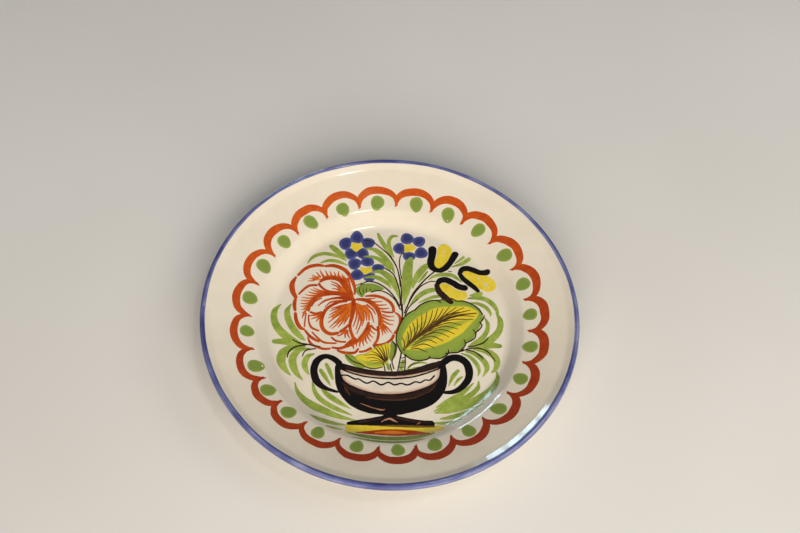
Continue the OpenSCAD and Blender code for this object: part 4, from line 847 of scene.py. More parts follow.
LOW_FRONDS = [
    [(-43.8, -48, 1.6), (-40.6, -51.6, 3.2), (-35.8, -55.2, 3.7), (-30.4, -58.8, 2.6), (-25, -61.8, 0.7)],
    [(-50, -42.6, 0.9), (-48.8, -48.6, 2.6), (-46, -53.8, 3.3), (-41.6, -57.8, 3.4), (-35.6, -61.4, 3.3),
     (-29.8, -64, 2.2), (-24, -66.6, 0.6)],
    [(-61.4, -44, 0.9), (-59.4, -50.4, 2.6), (-55, -56, 4.4), (-49.4, -60.2, 5.6), (-43, -63.2, 5.2),
     (-35.6, -66.4, 4), (-28, -68.8, 2.4), (-22, -70, 0.8)],
    [(-50.4, -68.6, 1), (-45.8, -70.8, 3.4), (-39.6, -72.4, 3.9), (-33.4, -73.3, 2.6), (-27.4, -73.6, 0.7)],
    [(-40, -76.6, 1), (-35, -77.8, 2.2), (-29.6, -78, 0.8)],
    [(54.8, -42, 0.8), (50.4, -46.8, 2.6), (44.6, -51.6, 4), (37.4, -56, 3.6), (30.4, -60, 0.8)],
    [(58.4, -40.6, 0.9), (57.6, -45.6, 3), (52.4, -51, 3.8), (44.6, -55.8, 4.6), (36, -59.8, 3.8),
     (28.8, -62.8, 0.8)],
    [(70.6, -33.6, 1), (70.6, -39.6, 3.2), (66.4, -47.2, 5.4), (58, -53.8, 6.2), (48, -58.8, 5.4),
     (38.4, -62.2, 3.8), (29.6, -64, 1)],
    [(60.6, -58.8, 1.6), (53, -62.6, 3.8), (44, -65.8, 3.8), (37, -67.4, 2.4), (32.6, -68, 0.8)],
    [(46, -69.6, 1.2), (38.4, -71.4, 2.7), (29.8, -71.2, 1.4)],
]
STALK_STROKES = [
    [(9, -26.6, 2.2), (8.2, -30, 2.6), (7.4, -33, 2.4)],
    [(-1.4, -29, 1.8), (-0.8, -31, 2.2), (-0.4, -32.8, 2)],
]
STEM_STROKES = [
    [(-20, 31.6, 0.7), (-15, 34.4, 1), (-8, 33, 1.1), (-1, 27.6, 1.1), (3.6, 21.6, 0.9), (6.6, 15.4, 0.9)],
    [(-3.6, 45.4, 0.9), (2.2, 40.8, 0.9), (5.6, 32, 0.9), (6.9, 24, 0.9), (7.2, 16, 0.9)],
    [(-9.6, 65, 0.7), (0.2, 55.4, 0.8), (5.2, 44.6, 0.9), (7.3, 31, 0.9)],
    [(30.6, 43.4, 0.9), (24, 36.6, 1.1), (18, 28.8, 1.1), (14.4, 22.6, 0.9), (11.6, 14, 0.8)],
    [(31, 35.6, 0.7), (26.6, 35, 0.8), (21, 31.2, 0.9), (16.6, 25.4, 1), (12, 16, 1), (10, 10, 0.9)],
    [(8.4, 17, 0.9), (8.6, 8, 1.1), (7.4, 1.6, 0.9)],
    [(-64.2, -12, 0.7), (-60, -14.5, 1), (-53.6, -15.6, 1.1), (-46, -17, 0.8)],
    [(-67.3, -25.4, 0.7), (-66, -20.6, 1.1), (-61.4, -17.1, 1.1), (-55, -15.8, 1)],
    [(-57.4, -24.4, 0.7), (-56, -20.8, 0.9), (-53, -19.3, 1), (-49, -18.7, 0.8)],
    [(66, -8, 0.7), (62.4, -11.9, 1), (57.4, -14, 1), (52.6, -15.2, 0.9)],
    [(47.8, -18.6, 0.8), (53, -16.5, 1), (60, -16.1, 1.1), (65.6, -19, 1), (69.8, -25.2, 0.7)],
    [(51, -17.5, 0.8), (56, -18.6, 1), (60, -21.6, 0.9), (61.8, -24, 0.7)],
]
GROUND_YELLOW = [
    [(-26, -75.3, 4.6), (-10, -74.9, 5), (10, -74.9, 5), (26, -75, 5), (32.2, -75.8, 5.6)],
    [(-27, -80, 3), (-24.6, -78.4, 4), (-14, -77, 3), (0, -76.2, 2.4), (16, -76.8, 2.6), (27, -78.6, 3.2)],
]
GROUND_RED = [[(-21, -79.5, 0.9), (-10, -78.7, 3.5), (3, -78.5, 5.2), (16, -78.8, 4), (25.4, -79.7, 1.2)]]
GROUND_GLOW = [[(-9, -78.6, 0.8), (-2, -78.3, 2.2), (5, -78.3, 2.4), (11, -78.6, 0.8)]]
GROUND_SHADE = [[(-13, -73.3, 0.8), (0, -73.3, 1.9), (14, -73.5, 2.2), (28.4, -73.7, 1.8)]]
# Rose hairs: (root, way point, end) from the hub or the petal's edge outwards, by petal
ROSE_WASHES = [
    [(-25.6, 15.6, 2.4), (-29.4, 10.6, 3.6), (-33, 5.4, 2.8), (-36, 1.4, 1)],
    [(-26.2, 16.4, 2.2), (-31.4, 13, 3), (-36, 8.6, 2.2), (-38.6, 5.4, 0.9)],
    [(-25.6, 14.2, 2), (-28, 8.4, 2.8), (-30.6, 3.6, 1.6), (-32.6, 0.4, 0.7)],
    [(-23.8, 16.2, 1.8), (-20.4, 11.4, 3), (-18.6, 7, 1.8), (-18.4, 3.4, 0.7)],
    [(-22.6, 16.4, 1.8), (-17.4, 13, 3), (-14.4, 8.8, 2.2), (-13.8, 4.2, 1.5)],
    [(-26.6, 22.4, 2.6), (-30.4, 26, 3), (-33.4, 29.6, 1.6), (-36, 31.8, 0.8)],
    [(-7.6, 9.4, 1.4), (-5.4, 5, 2.4), (-5.6, 0.4, 2), (-6.4, -2.6, 0.8)],
    [(-14.8, -2.4, 1.2), (-15.8, -6.4, 2), (-18.4, -10, 1.8), (-21, -12.4, 1)],
    [(-45.6, 37.2, 1.6), (-40, 38, 2.2), (-34.6, 36.6, 2), (-31.4, 34, 1)],
    [(-51.4, 21.4, 1.2), (-53.6, 17.4, 2), (-55, 13.8, 1.2)],
    [(-52.6, 36.6, 1.2), (-49.8, 35.4, 1.8), (-47.6, 35.6, 1)],
]
ROSE_HAIRS = [
    [(-30.5, 14.8), (-35.6, 12.6), (-40.2, 10.4)], [(-30, 13.8), (-35.4, 11), (-40.6, 7.4)],
    [(-29.4, 12.8), (-35, 9.2), (-41, 5)], [(-29, 11.8), (-35.2, 7), (-41.2, 1.4)],
    [(-28.6, 10.6), (-34.4, 4.4), (-40, -2.2)], [(-28.2, 9.4), (-33, 3), (-38.2, -3)],
    [(-28, 8.2), (-31.4, 2.6), (-34.4, -1.8)], [(-27.6, 7.4), (-29.2, 3.6), (-30.8, 0.4)],
    [(-28, 12.4), (-33, 6), (-37.4, 1.2)], [(-29, 13.4), (-34, 9.8), (-38.4, 7.4)],
    [(-29.4, 15.6), (-34, 14.4), (-39.4, 12.4)], [(-27.8, 11), (-31, 6.4), (-34.4, 3)],
    [(-22.6, 14), (-22.3, 7), (-24.5, -1.5)], [(-21.6, 13.4), (-20.6, 6), (-22.5, -3.2)],
    [(-20.4, 13.4), (-18.6, 5), (-21.8, -6.5)], [(-19.8, 13.6), (-17.2, 6.6), (-18.6, -0.4)],
    [(-19, 14.4), (-16.2, 9.4), (-15.4, 3.8)], [(-17.4, 15), (-12.8, 10), (-10.8, 2.5)],
    [(-15.4, 15.6), (-11.6, 12.4), (-9.6, 8.6)], [(-21.4, 12), (-19.8, 8), (-19.6, 3.4)],
    [(-31, 26), (-35.4, 31.4), (-40.3, 34)], [(-32.4, 25.6), (-35.8, 29.8), (-40, 31.6)],
    [(-33, 24.6), (-35.2, 27.4), (-39.2, 28.3)], [(-29.4, 28), (-32.4, 32.2), (-35.4, 34.6)],
    [(-33, 18.6), (-40, 17.4), (-43.8, 13.4)], [(-36.6, 24), (-34.4, 26), (-31, 26.8)],
    [(-18, 19.8), (-14, 20.6), (-10, 21.2)], [(-15, 18.2), (-10, 18.3), (-5.2, 18.8)],
    [(-11.6, 16.2), (-7, 15.8), (-2.2, 16.2)], [(-9.4, 13.8), (-4.8, 13), (-0.6, 13.6)],
    [(-27.7, 30), (-26.2, 26), (-25.4, 21.4)], [(-28.6, 36.4), (-27.4, 31.6), (-26.4, 28)],
    [(-46.4, 5.6), (-48.2, 4), (-49.2, 2)], [(-46.6, 6.8), (-49.4, 5.4), (-52.6, 4)],
    [(-47, 8), (-50.6, 7), (-54.4, 6.6)], [(-30.4, -5), (-32.4, -7.6), (-35, -8.6)],
    [(-29.2, -4.6), (-29.8, -7.4), (-29.5, -9.8)], [(-28.4, -4.4), (-28, -7.4), (-26.6, -10.2)],
    [(-57, 9.6), (-58, 7), (-58.6, 4.6)], [(-25, -15.6), (-24, -16.6), (-23.8, -18)],
]
ROSE_FRINGES = [
    [(-50.5, 35.4), (-53, 34.2), (-56, 34)], [(-49.6, 36.2), (-52.2, 35.6), (-55, 36)],
    [(-49, 37), (-51, 37.4), (-53.4, 38.8)], [(-47.8, 37.6), (-49, 39), (-50.4, 41.2)],
    [(-45.6, 38), (-47, 40.4), (-48.2, 42.8)], [(-42.4, 38), (-43.4, 40.2), (-44.4, 42.4)],
    [(-39.8, 38), (-40.4, 39.8), (-41.2, 41.8)], [(-37, 37.8), (-37.6, 39.6), (-38.4, 41.4)],
    [(-35, 37), (-35.4, 39.4), (-35.2, 42)], [(-33.4, 36.2), (-34, 37.8), (-34.8, 39)],
    [(-31.8, 35.2), (-32.2, 37.4), (-33, 39.8)], [(-30.6, 34.2), (-31, 36.4), (-31.6, 38.6)],
    [(-29.4, 32.8), (-29.6, 35), (-30.2, 37)], [(-43.6, 25.6), (-48, 26.6), (-52.2, 28.5)],
    [(-46, 25), (-50, 25.8), (-54, 27.4)], [(-48.4, 24), (-52, 24.2), (-55.4, 25.2)],
    [(-50.3, 22.4), (-54, 22.4), (-57.4, 23)], [(-51.8, 20.6), (-55.6, 20.2), (-59.6, 20.8)],
    [(-52.8, 18.8), (-56.6, 18), (-60.2, 18.6)], [(-54, 16.8), (-57.4, 15.8), (-60.4, 16.2)],
    [(-54.8, 15), (-57.6, 13.8), (-60.2, 13.8)], [(-55.2, 13.4), (-57.6, 11.8), (-59.6, 11)],
    [(-55.6, 12), (-57, 10), (-58.8, 8.6)], [(-4.5, 8.3), (-1, 7), (3, 7.4)],
    [(-4.8, 6.4), (-1, 4.4), (3, 4)], [(-5, 4), (-1, 1.4), (2.6, 0.7)], [(-5, 1.5), (-1, -2.4), (2, -6)],
    [(-4.8, 0), (-2.6, -2.8), (-1, -5.2)], [(-5.4, -0.6), (-3.8, -3.6), (-2.6, -6.3)],
    [(-6, -1), (-5, -4), (-4.6, -7.5)], [(-13.4, -1.2), (-12.4, -4.4), (-9.8, -6.6)],
    [(-14, -3.4), (-13.4, -7), (-11, -9.6)], [(-15, -5.6), (-14.4, -9.4), (-12.4, -12.2)],
    [(-16, -7.4), (-16, -11.6), (-14.6, -14)], [(-17.4, -9.2), (-17.8, -12.8), (-17, -15.6)],
    [(-18.8, -10.6), (-19.8, -14), (-19.6, -17)], [(-20.4, -11.6), (-22, -14), (-21.8, -16.4)],
    [(-22, -12.4), (-23.6, -14.6), (-24.4, -17)],
]
# Leaf veins from the midrib outwards, and the leaf's scalloped outline in separate strokes
VEINS = [
    [(9, -19), (10, -14), (8.4, -9)], [(10.5, -17), (12.6, -10), (12, -4.4)],
    [(11, -16), (14.4, -8), (13.4, 0)], [(12, -15), (16.8, -6), (15.4, 2.8)],
    [(12.6, -14), (18.2, -4), (18.4, 5.8)], [(13.4, -12.6), (20.6, -2.4), (21.6, 9.4)],
    [(15, -10.8), (22.8, 0), (25, 11)], [(17, -9), (25.8, 1.6), (29, 12.4)],
    [(19.4, -7), (28.8, 3.6), (32.6, 14.2)], [(22, -5.2), (31.4, 5.4), (36.2, 14)],
    [(25, -2.6), (33.8, 6.2), (40.6, 15.6)], [(28, -0.4), (36.4, 7.8), (45.2, 15.4)],
    [(31.4, 2), (38.4, 8.4), (50.2, 15)], [(35, 4.6), (42, 9.2), (54.4, 13.2)],
    [(14, -17.8), (19, -17.2), (24.8, -19.8)], [(14.6, -16.6), (22.6, -13.6), (29.6, -16.4)],
    [(15.4, -14.8), (24.6, -10.4), (31.4, -12.8)], [(17, -12.6), (27.4, -7.6), (35.6, -11)],
    [(19.6, -10), (30.6, -4.6), (39.6, -7.8)], [(22.6, -7.4), (34, -2.4), (43.2, -5.4)],
    [(26, -4), (36.6, 0.2), (45.8, -1.8)], [(30, -0.6), (39.6, 3), (48.2, 1.4)],
    [(35, 3.4), (44, 5.8), (56, 6)], [(39, 6), (48, 8.6), (57, 8.4)],
]
MIDRIBS = [
    [(10.4, -16.6, 0.6), (14, -11.8, 0.9), (20, -6.6, 1.5), (29, -0.2, 2), (37, 5.2, 1.8), (46, 9, 1.2),
     (58.6, 10.9, 0.8)],
    [(9.6, -18.6, 0.6), (13, -14.4, 0.9), (18, -9.4, 1), (26, -3.6, 0.9), (34, 2.6, 0.7)],
    [(30, 2.8, 0.7), (37, 8, 1.1), (44, 10.8, 0.8), (50, 11.6, 0.5)],
]
LEAF_OUTLINES = [
    [(8, -20.8, 0.9), (5, -14.4, 0.8), (4.4, -8, 0.8), (6.2, -0.6, 0.9), (9.2, 5.6, 0.9), (12.6, 9.8, 0.9),
     (17.4, 12.8, 0.8)],
    [(17, 12.4, 1), (20.2, 16, 0.9), (25, 19, 0.9), (30, 20.4, 0.8), (33, 20, 0.8), (36.5, 21.8, 0.7)],
    [(31.8, 20.6, 0.6), (33, 19.8, 0.7), (34.6, 18.6, 0.6)],
    [(42, 22.4, 0.8), (45.6, 20.2, 0.9), (50.2, 20.2, 0.9), (55.4, 18, 0.9), (60, 14.6, 1),
     (62.8, 10, 0.9)],
    [(64, 9.2, 0.7), (63, 6.6, 0.9), (61, 3.4, 0.8)],
    [(60.4, 4, 0.7), (62, 1.6, 0.9), (60.4, -1.6, 0.9), (57.2, -4.6, 0.8)],
    [(55.8, -1.8, 0.6), (57.6, -5, 0.9), (56.4, -9, 0.9), (50.4, -12.4, 0.9)],
    [(49.6, -9.6, 0.6), (50.6, -13, 0.9), (48.8, -16.4, 0.9), (46.4, -18.6, 0.9)],
    [(49, -17.2, 0.7), (45.4, -19.4, 0.9), (41, -19.9, 1), (37.2, -20.6, 0.9)],
    [(39, -17.8, 0.7), (39, -20.4, 0.9), (36.6, -22.6, 0.9), (33, -24.2, 0.9), (26.2, -24, 0.8)],
    [(26.8, -22.6, 0.6), (25.2, -24.8, 0.9), (20.6, -26, 0.9), (14.4, -25.2, 0.9), (10, -21.6, 0.8)],
]
STALK_LINES = [
    [(7.8, -20.6, 1), (6.7, -27, 0.9), (5.3, -34.5, 0.9)],
    [(10.4, -22.6, 0.9), (10.3, -30, 0.9), (9.8, -34.6, 0.9)],
    [(7.2, -24, 0.5), (8.8, -24.4, 0.6), (10.2, -23.8, 0.5)],
    [(6.8, -27.4, 0.5), (8.6, -27.9, 0.6), (10.2, -27.2, 0.5)],
    [(6.2, -31, 0.5), (8, -31.6, 0.6), (10, -30.8, 0.5)],
    [(-4, -29, 0.7), (-3.2, -32, 0.8), (-2.8, -34.6, 0.8)],
    [(0.5, -29, 0.7), (1, -32, 0.8), (1.8, -35, 0.8)],
    [(12.5, -31.5, 0.6), (15, -29, 0.8), (20, -27.6, 0.5)],
]
SMALL_ARCS = [
    [(11, -34, 0.9), (14, -29.8, 1.6), (19, -27.4, 1.8), (24.6, -28, 0.7)],
    [(12.4, -34.4, 0.8), (15.6, -32, 1.2), (18.6, -31, 0.6)],
]
PETAL_STEMS = [
    [(-19.6, 68.4, 0.5), (-13, 67.6, 0.7), (-7.4, 63, 0.8), (0, 55, 0.7), (5, 45, 0.7), (7.6, 32, 0.8),
     (8, 12, 0.9)],
    [(10, 58.6, 0.5), (7.2, 55.6, 0.7), (6.6, 48, 0.8), (8, 37, 0.6)],
    [(-12.6, 26, 0.9), (-7, 27.4, 0.9), (-1, 24.8, 0.9), (3.6, 20, 0.9), (7, 13, 0.9)],
    [(-23, 31, 0.6), (-19.4, 33, 0.6)], [(19, 21, 0.7), (13.2, 14.8, 0.8), (10.2, 8, 0.8)],
    [(40.4, 43.8, 0.5), (42.6, 43.8, 0.5)],
]
# The urn's brown bands, where the black lies thinner, and its last light touches
URN_BANDS = [
    [(-28, -31.8, 2.2), (-18, -34.7, 3), (-8, -36, 3), (2, -36.3, 2.9), (12, -35, 3.2), (20, -32.6, 3.9),
     (28, -29.6, 3.9), (33, -27.6, 2.4)],
    [(-30.4, -43.4, 1), (-26, -47.2, 2.4), (-18, -50.6, 2.9), (-8, -52.7, 3), (2, -53.3, 3),
     (12, -52.2, 3), (21, -49, 2.9), (28, -44.8, 2.3), (31.6, -40.4, 1)],
    [(4.4, -67.6, 0.8), (11, -69.2, 1.9), (19, -70.4, 1.7), (27, -70.8, 1)],
    [(-19, -71.2, 1.4), (-12, -69.8, 2), (-5.6, -68.4, 1.6)],
]
URN_STREAKS = [
    [(-15, -53.6, 0.6), (-5, -55, 1), (6, -55.1, 1.1), (16, -53.3, 1), (25, -49, 0.6)],
    [(-29, -46.6, 0.7), (-27.4, -49.4, 1.6), (-25.6, -52.2, 0.8)],
    [(30.6, -42, 0.6), (28.6, -46, 1.1), (25.4, -49.2, 0.6)],
]
URN_LIGHTS = [
    [(-18.6, -58, 0.5), (-12, -60.6, 0.8), (-8, -61.8, 0.9), (-5, -62.5, 1.3), (-2.8, -62.1, 0.6)],
    [(-5, -71, 0.5), (-2.4, -69.4, 1.2), (0.6, -68.6, 1.5), (3, -69.8, 1.4), (5.4, -71, 0.5)],
    [(17.8, -72.2, 0.5), (19.2, -71.4, 0.9), (20, -71, 0.4)],
]
# The green that the leaf's yellow ran into, below the midrib
LEAF_WASHES = [
    [(11, -16.4, 2), (18, -12.6, 5), (27, -7.4, 7.4), (37, -1.8, 7), (46, 2.4, 5), (55, 6.4, 2)],
    [(9.8, -14, 2), (12.4, -8, 3.4), (17, -2.4, 3), (23, 2.6, 1.6)],
]
# Bare pinholes where bubbles broke the yellow: place and width
PINHOLES = [
    (37.4, 60, 2.3), (36.9, 56.8, 1.5), (61, 38.8, 2.2), (65.8, 33.8, 3.2), (63.6, 36.3, 1.3),
    (68, 31.6, 1.2),
]


# ---------------------------------------------------------------- the plate, its glaze and its blue edge
GLAZE_DEPTH = 0.2
BASE_STEP = 0.5
BAND_W = 3.6
BAND_STEPS = 26
BAND_WANDER = 0.35
BAND_TREMOR = 0.12
BAND_LOOP = 30  # the band's wander is read on a loop of this radius, so that it closes

WHITE = white_glaze()

inner_skin = moved_out(profile, -GLAZE_DEPTH)
inner_skin[0, 0] = 0
lathe("glazed_body", np.vstack([profile, inner_skin[::-1]]), WHITE, "glaze_coat")
underside = turned("foot_glaze")
readings = [reading(underside, r, -AWAY, 0, 1) for r in np.arange(READ_FROM, FOOT_INSIDE, BASE_STEP)]
base = [p for p in readings if p]
base = smoothed(np.array([(0, base[0][1])] + base))
base_skin = np.vstack([base + (0, GLAZE_DEPTH), base[::-1]])
lathe("glazed_underside", base_skin, WHITE, "foot_glaze")


def blue_band():
    """The band over the lip; both its edges stray a little, as a brush on the wheel leaves them."""
    run = run_along(profile)
    way = unit(np.gradient(profile, axis=0))
    first = float(np.interp(EDGE_R - BAND_W, face_r, run[:top + 1]))
    outside = np.arange(len(profile)) > top
    last = float(run[np.argmax(outside & (profile[:, 1] < BAND_LOW))])
    upper, lower, uv, edges = [], [], [], []
    for i in range(SIDES):
        a = 2 * math.pi * i / SIDES
        c, s = math.cos(a), math.sin(a)
        place = (c * BAND_LOOP, s * BAND_LOOP)
        low = first + BAND_WANDER * field(*place, 6, 1.5) + BAND_TREMOR * field(*place, 1.2, 2.5)
        high = last + 2 * BAND_WANDER * field(*place, 8, 6.5)
        for k in range(BAND_STEPS + 1):
            at = low + (high - low) * k / BAND_STEPS
            r, z, dr, dz = (float(np.interp(at, run, v)) for v in (*profile.T, *way.T))
            far = min(at - low, high - at)
            rise = COAT * (1 - (1 - min(far / SOFT_EDGE, 1)) ** 2)
            for out, points in ((rise, upper), (-KEY, lower)):
                x, y = (r - dz * out) * c, (r - dz * out) * s
                points.append((x, y, z + dr * out + sway(r * c, r * s)))
            uv.append((a * EDGE_R / UV_UNIT, at / UV_UNIT))
            edges.append(far)
    wide = BAND_STEPS + 1
    count = SIDES * wide
    faces = []
    for i in range(0, count, wide):
        j = (i + wide) % count
        for k in range(BAND_STEPS):
            quad = [i + k, i + k + 1, j + k + 1, j + k]
            faces.append(quad)
            faces.append([v + count for v in reversed(quad)])
        faces.append([i, j, j + count, i + count])
        faces.append([v + BAND_STEPS for v in (i + count, j + count, j, i)])
    rims = [v + side for i in range(0, count, wide) for v in (i, i + BAND_STEPS) for side in (0, count)]
    new_piece("painted_rim_band", upper + lower, faces, blue_band_enamel(), "rim_band",
              rims, {"tone": [0.5] * 2 * count, "edge": edges * 2}, uv * 2)


blue_band()
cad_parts["clay_body"].data.materials.clear()
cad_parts["clay_body"].data.materials.append(biscuit())

ORANGE = enamel("orange_enamel", (218, 116, 36), (196, 80, 20), (156, 52, 22), 0.2, 0.3)
GREEN = enamel("green_enamel", (174, 190, 88), (146, 164, 68), (112, 138, 52), 0.45, 0.45, 0.05)
YELLOW = enamel("yellow_enamel", (234, 214, 98), (230, 204, 54), (214, 178, 34), 0.35, 0.3, 0.04)
BLACK = enamel("black_enamel", (98, 62, 40), (50, 31, 23), (17, 13, 11), 0.14, 0.26)
BROWN = enamel("brown_line_enamel", (124, 90, 34), (84, 60, 26), (46, 32, 18), 0.3, 0.3)
SHADE = enamel("brown_over_yellow", (150, 116, 34), (112, 80, 26), (84, 58, 22), 0.3, 0.4)
ROSE = enamel("rose_enamel", (224, 126, 40), (202, 86, 14), (168, 54, 6), 0.35, 0.45)
BLUE = two_tone("blue_enamel", (86, 94, 152), (72, 78, 136), (54, 58, 108), 2.4, 0.5)
DOT_GREEN = two_tone("dot_enamel", (150, 164, 84), (142, 158, 74), (128, 150, 66), 1.6, 0.7)
LEAF_GREEN = two_tone("leaf_enamel", (128, 150, 58), (138, 160, 62), (148, 168, 66), 4, 0.7)
HEART = two_tone("leaf_heart_enamel", (160, 172, 60), (214, 202, 56), (232, 206, 54), 1.6, 0.6)
WASH = two_tone("leaf_wash_enamel", (206, 198, 58), (178, 184, 60), (160, 172, 60), 2.4, 0.7)
BLUSH = two_tone("blush_enamel", (196, 156, 130), (222, 200, 176), (230, 218, 200), 2.6, 0.4)
TOUCHES = two_tone("touches_enamel", (120, 76, 52), (176, 124, 92), (206, 160, 126), 0.8, 0.4)
PINHOLE = two_tone("pinhole_enamel", (236, 214, 120), (226, 212, 184), (216, 200, 180), 0.5, 0.2)

# ---------------------------------------------------------------- the border
SCALLOP_TURNS = (3, 18, 34, 50, 65, 79, 96, 111, 126, 141, 156, 172, 187, 203, 215, 228, 242, 258, 273, 287,
                 302, 317, 333, 348)  # the crowns, in degrees
TIP_R = 93
TIP_WIDTH = 1.7
CROWN = 10.6  # from the tips to the middle of the stroke at the crown
ARC_POINTS = 9
SIDE_HEAVY = 0.9  # strokes on the right are this much wider than those on the left
DOT_R = 94.3


def scallop(draw, centre, before, after):
    """Points of one brush stroke: from its hooked tip over the crown to the next stroke's tip."""
    crown = CROWN + draw(-0.7, 0.7)
    heavy = draw(4.9, 5.5) + SIDE_HEAVY * (0.5 + 0.5 * math.cos(math.radians(centre + 20)))
    lean = draw(-0.5, 0.5)
    arc = []
    for t in np.linspace(0, 1, ARC_POINTS):
        swing = -math.cos(math.pi * t)
        rise = math.sin(math.pi * t)
        turn = centre + (after if swing > 0 else before) * swing + lean * rise
        r = TIP_R + draw(-0.3, 0.3) + crown * rise ** 0.85
        width = TIP_WIDTH + (heavy - TIP_WIDTH) * math.sin(math.pi * t ** 1.25) ** 0.6
        arc.append((*polar(r, turn), width))
    return [(*polar(TIP_R - 1.2, centre + after + 0.5), 0.9)] + arc[-2::-1]


def border():
    """The scallops, with painted shade that makes them darker towards the front of the plate, and a dot
    under each.
    """
    draw = np.random.default_rng(24).uniform
    scallops = Enamel(seed=1)
    dots = Enamel(seed=2)
    for n, centre in enumerate(SCALLOP_TURNS):
        before = (centre - SCALLOP_TURNS[n - 1]) % 360 / 2
        after = (SCALLOP_TURNS[(n + 1) % len(SCALLOP_TURNS)] - centre) % 360 / 2
        stroke = scallop(draw, centre, before, after)
        # painted shade: the scallops' colour is made thicker and darker towards the front of the plate
        painted_front_shade = 0.5 - 0.5 * math.sin(math.radians(centre - 12))
        scallops.brush(stroke, (0.4 + 0.5 * painted_front_shade, 0.48 + 0.44 * painted_front_shade + draw(-0.08, 0.08)))
        dots.fill(egg(polar(DOT_R + draw(-0.6, 0.6), centre + draw(-0.5, 0.5)),
                      math.radians(centre + 180 + draw(-30, 30)), draw(9.4, 11.2), draw(8.4, 9.6)))
    scallops.piece("scallop_border", ORANGE, "orange_enamel")
    dots.piece("border_dots", DOT_GREEN, "green_enamel")


border()


# ---------------------------------------------------------------- the painting in the well
def painted(name, material, slot, coat, fills=(), strokes=(), tone=(0.5, 0.5), straight=False, node=None):
    """One node's paint: filled shapes first, then strokes over them."""
    sheet = Enamel(coat, seed=len(name))
    for outline in fills:
        sheet.fill(outline, tone=tone[0], straight=straight)
    sheet.brushes(strokes, tone)
    sheet.piece(name, material, slot, node)


def hairs(sheet, strokes, widths, tone):
    """Fine strokes that all have the same widths along them."""
    sheet.brushes([[(*p, w) for p, w in zip(points, widths)] for points in strokes], tone)


def urn():
    bowl = Enamel(2, seed=4)
    bowl.fill(BOWL, [PANEL], tone=0.9)
    bowl.base += COAT
    bowl.brushes(URN_BANDS[:2], (0.52, 0.6))
    bowl.brushes(URN_STREAKS, (0.3, 0.4))
    bowl.piece("urn_bowl", BLACK, "black_enamel")
    foot = Enamel(3, seed=7)
    foot.fill(FOOT_SHAPE, tone=0.9, straight=True)
    foot.base += COAT
    foot.brushes(URN_BANDS[2:], (0.45, 0.6))
    foot.piece("urn_foot", BLACK, "black_enamel")
    lights = Enamel(6, seed=3)
    lights.brushes(URN_LIGHTS)
    lights.piece("urn_lights", TOUCHES, "blush_wash", "urn_panel")
    painted("urn_panel", BLUSH, "blush_wash", 0, [PANEL])
    painted("urn_panel_lines", BLACK, "black_enamel", 2, (), PANEL_LINES, (0.95, 0.95))
    painted("urn_handle_left", BLACK, "black_enamel", 3, (), [HANDLE_LEFT], (0.95, 0.8))
    painted("urn_handle_right", BLACK, "black_enamel", 3, (), [HANDLE_RIGHT], (0.95, 0.85))


def blue_flowers():
    petals = Enamel(1, seed=6)
    for centre, around in FLOWERS:
        for x, y, length, width in around:
            petals.fill(egg((x, y), math.atan2(y - centre[1], x - centre[0]), length, width))
    petals.piece("blue_petals", BLUE, "blue_enamel")
    painted("flower_centres", YELLOW, "yellow_enamel", 2, STAR_SHAPES, straight=True)


def rose():
    petals = Enamel(1, seed=8)
    petals.brushes(ROSE_OUTER, (0.75, 0.65))
    petals.brushes(ROSE_INNER, (0.8, 0.6))
    petals.piece("rose_petals", ROSE, "orange_enamel")
    hair = Enamel(0, seed=9)
    hair.brushes(ROSE_WASHES, (0.35, 0.1))
    hairs(hair, ROSE_HAIRS, (1.8, 1.3, 0.7), (0.5, 0.6))
    hairs(hair, ROSE_FRINGES, (1.5, 1.2, 0.6), (0.55, 0.4))
    hair.piece("rose_hairs", ROSE, "orange_enamel")


def tulips():
    painted("tulip_hearts", YELLOW, "yellow_enamel", 3, TULIP_YELLOW)
    edges = Enamel(4, seed=11)
    edges.brushes(TULIP_BLACK[:-1], (0.95, 0.85))
    edges.brush(TULIP_BLACK[-1], (0.62, 0.5))
    edges.piece("tulip_edges", BLACK, "black_enamel")
    holes = Enamel(4.5, seed=5)
    for x, y, wide in PINHOLES:
        holes.fill(egg((x, y), x, wide, wide * 0.85, 16))
    holes.piece("tulip_pinholes", PINHOLE, "yellow_enamel", "tulip_hearts")


def leaf():
    painted("leaf_green", LEAF_GREEN, "green_enamel", 3, [LEAF_SHAPE])
    painted("leaf_heart", HEART, "yellow_enamel", 4, [LEAF_YELLOW])
    painted("leaf_washes", WASH, "green_enamel", 5, (), LEAF_WASHES, node="leaf_heart")
    lines = Enamel(6.5, seed=12)
    hairs(lines, VEINS, (0.6, 0.85, 0.55), (0.4, 0.3))
    lines.brushes(MIDRIBS, (0.35, 0.75))
    lines.brushes(LEAF_OUTLINES, (0.9, 0.8))
    lines.piece("leaf_lines", BROWN, "brown_enamel")


urn()
painted("ground_yellow", YELLOW, "yellow_enamel", 0, (), GROUND_YELLOW)
painted("ground_red", ROSE, "orange_enamel", 2, (), GROUND_RED, (0.8, 0.8))
painted("ground_glow", ROSE, "orange_enamel", 4, (), GROUND_GLOW, (0.05, 0.05), node="ground_red")
painted("ground_shade", SHADE, "brown_enamel", 1.5, (), GROUND_SHADE, node="ground_yellow")
painted("ground_green", GREEN, "green_enamel", 1, (), GROUND_GREEN_STROKES, (0.8, 0.6))
for name, coat, strokes in (("fronds_left", 1, LEFT_FRONDS), ("fronds_right", 1, RIGHT_FRONDS),
                            ("fronds_top", 2.5, TOP_FRONDS), ("fronds_low", 1, LOW_FRONDS)):
    painted(name, GREEN, "green_enamel", coat, (), strokes, (0.62, 0.34))
blue_flowers()
rose()
tulips()
leaf()
painted("small_leaf_green", LEAF_GREEN, "green_enamel", 1, SMALL_GREEN)
painted("small_leaf_heart", HEART, "yellow_enamel", 2, [SMALL_HEART])
painted("small_leaf_wash", WASH, "green_enamel", 3, (), [SMALL_WASH], node="small_leaf_heart")
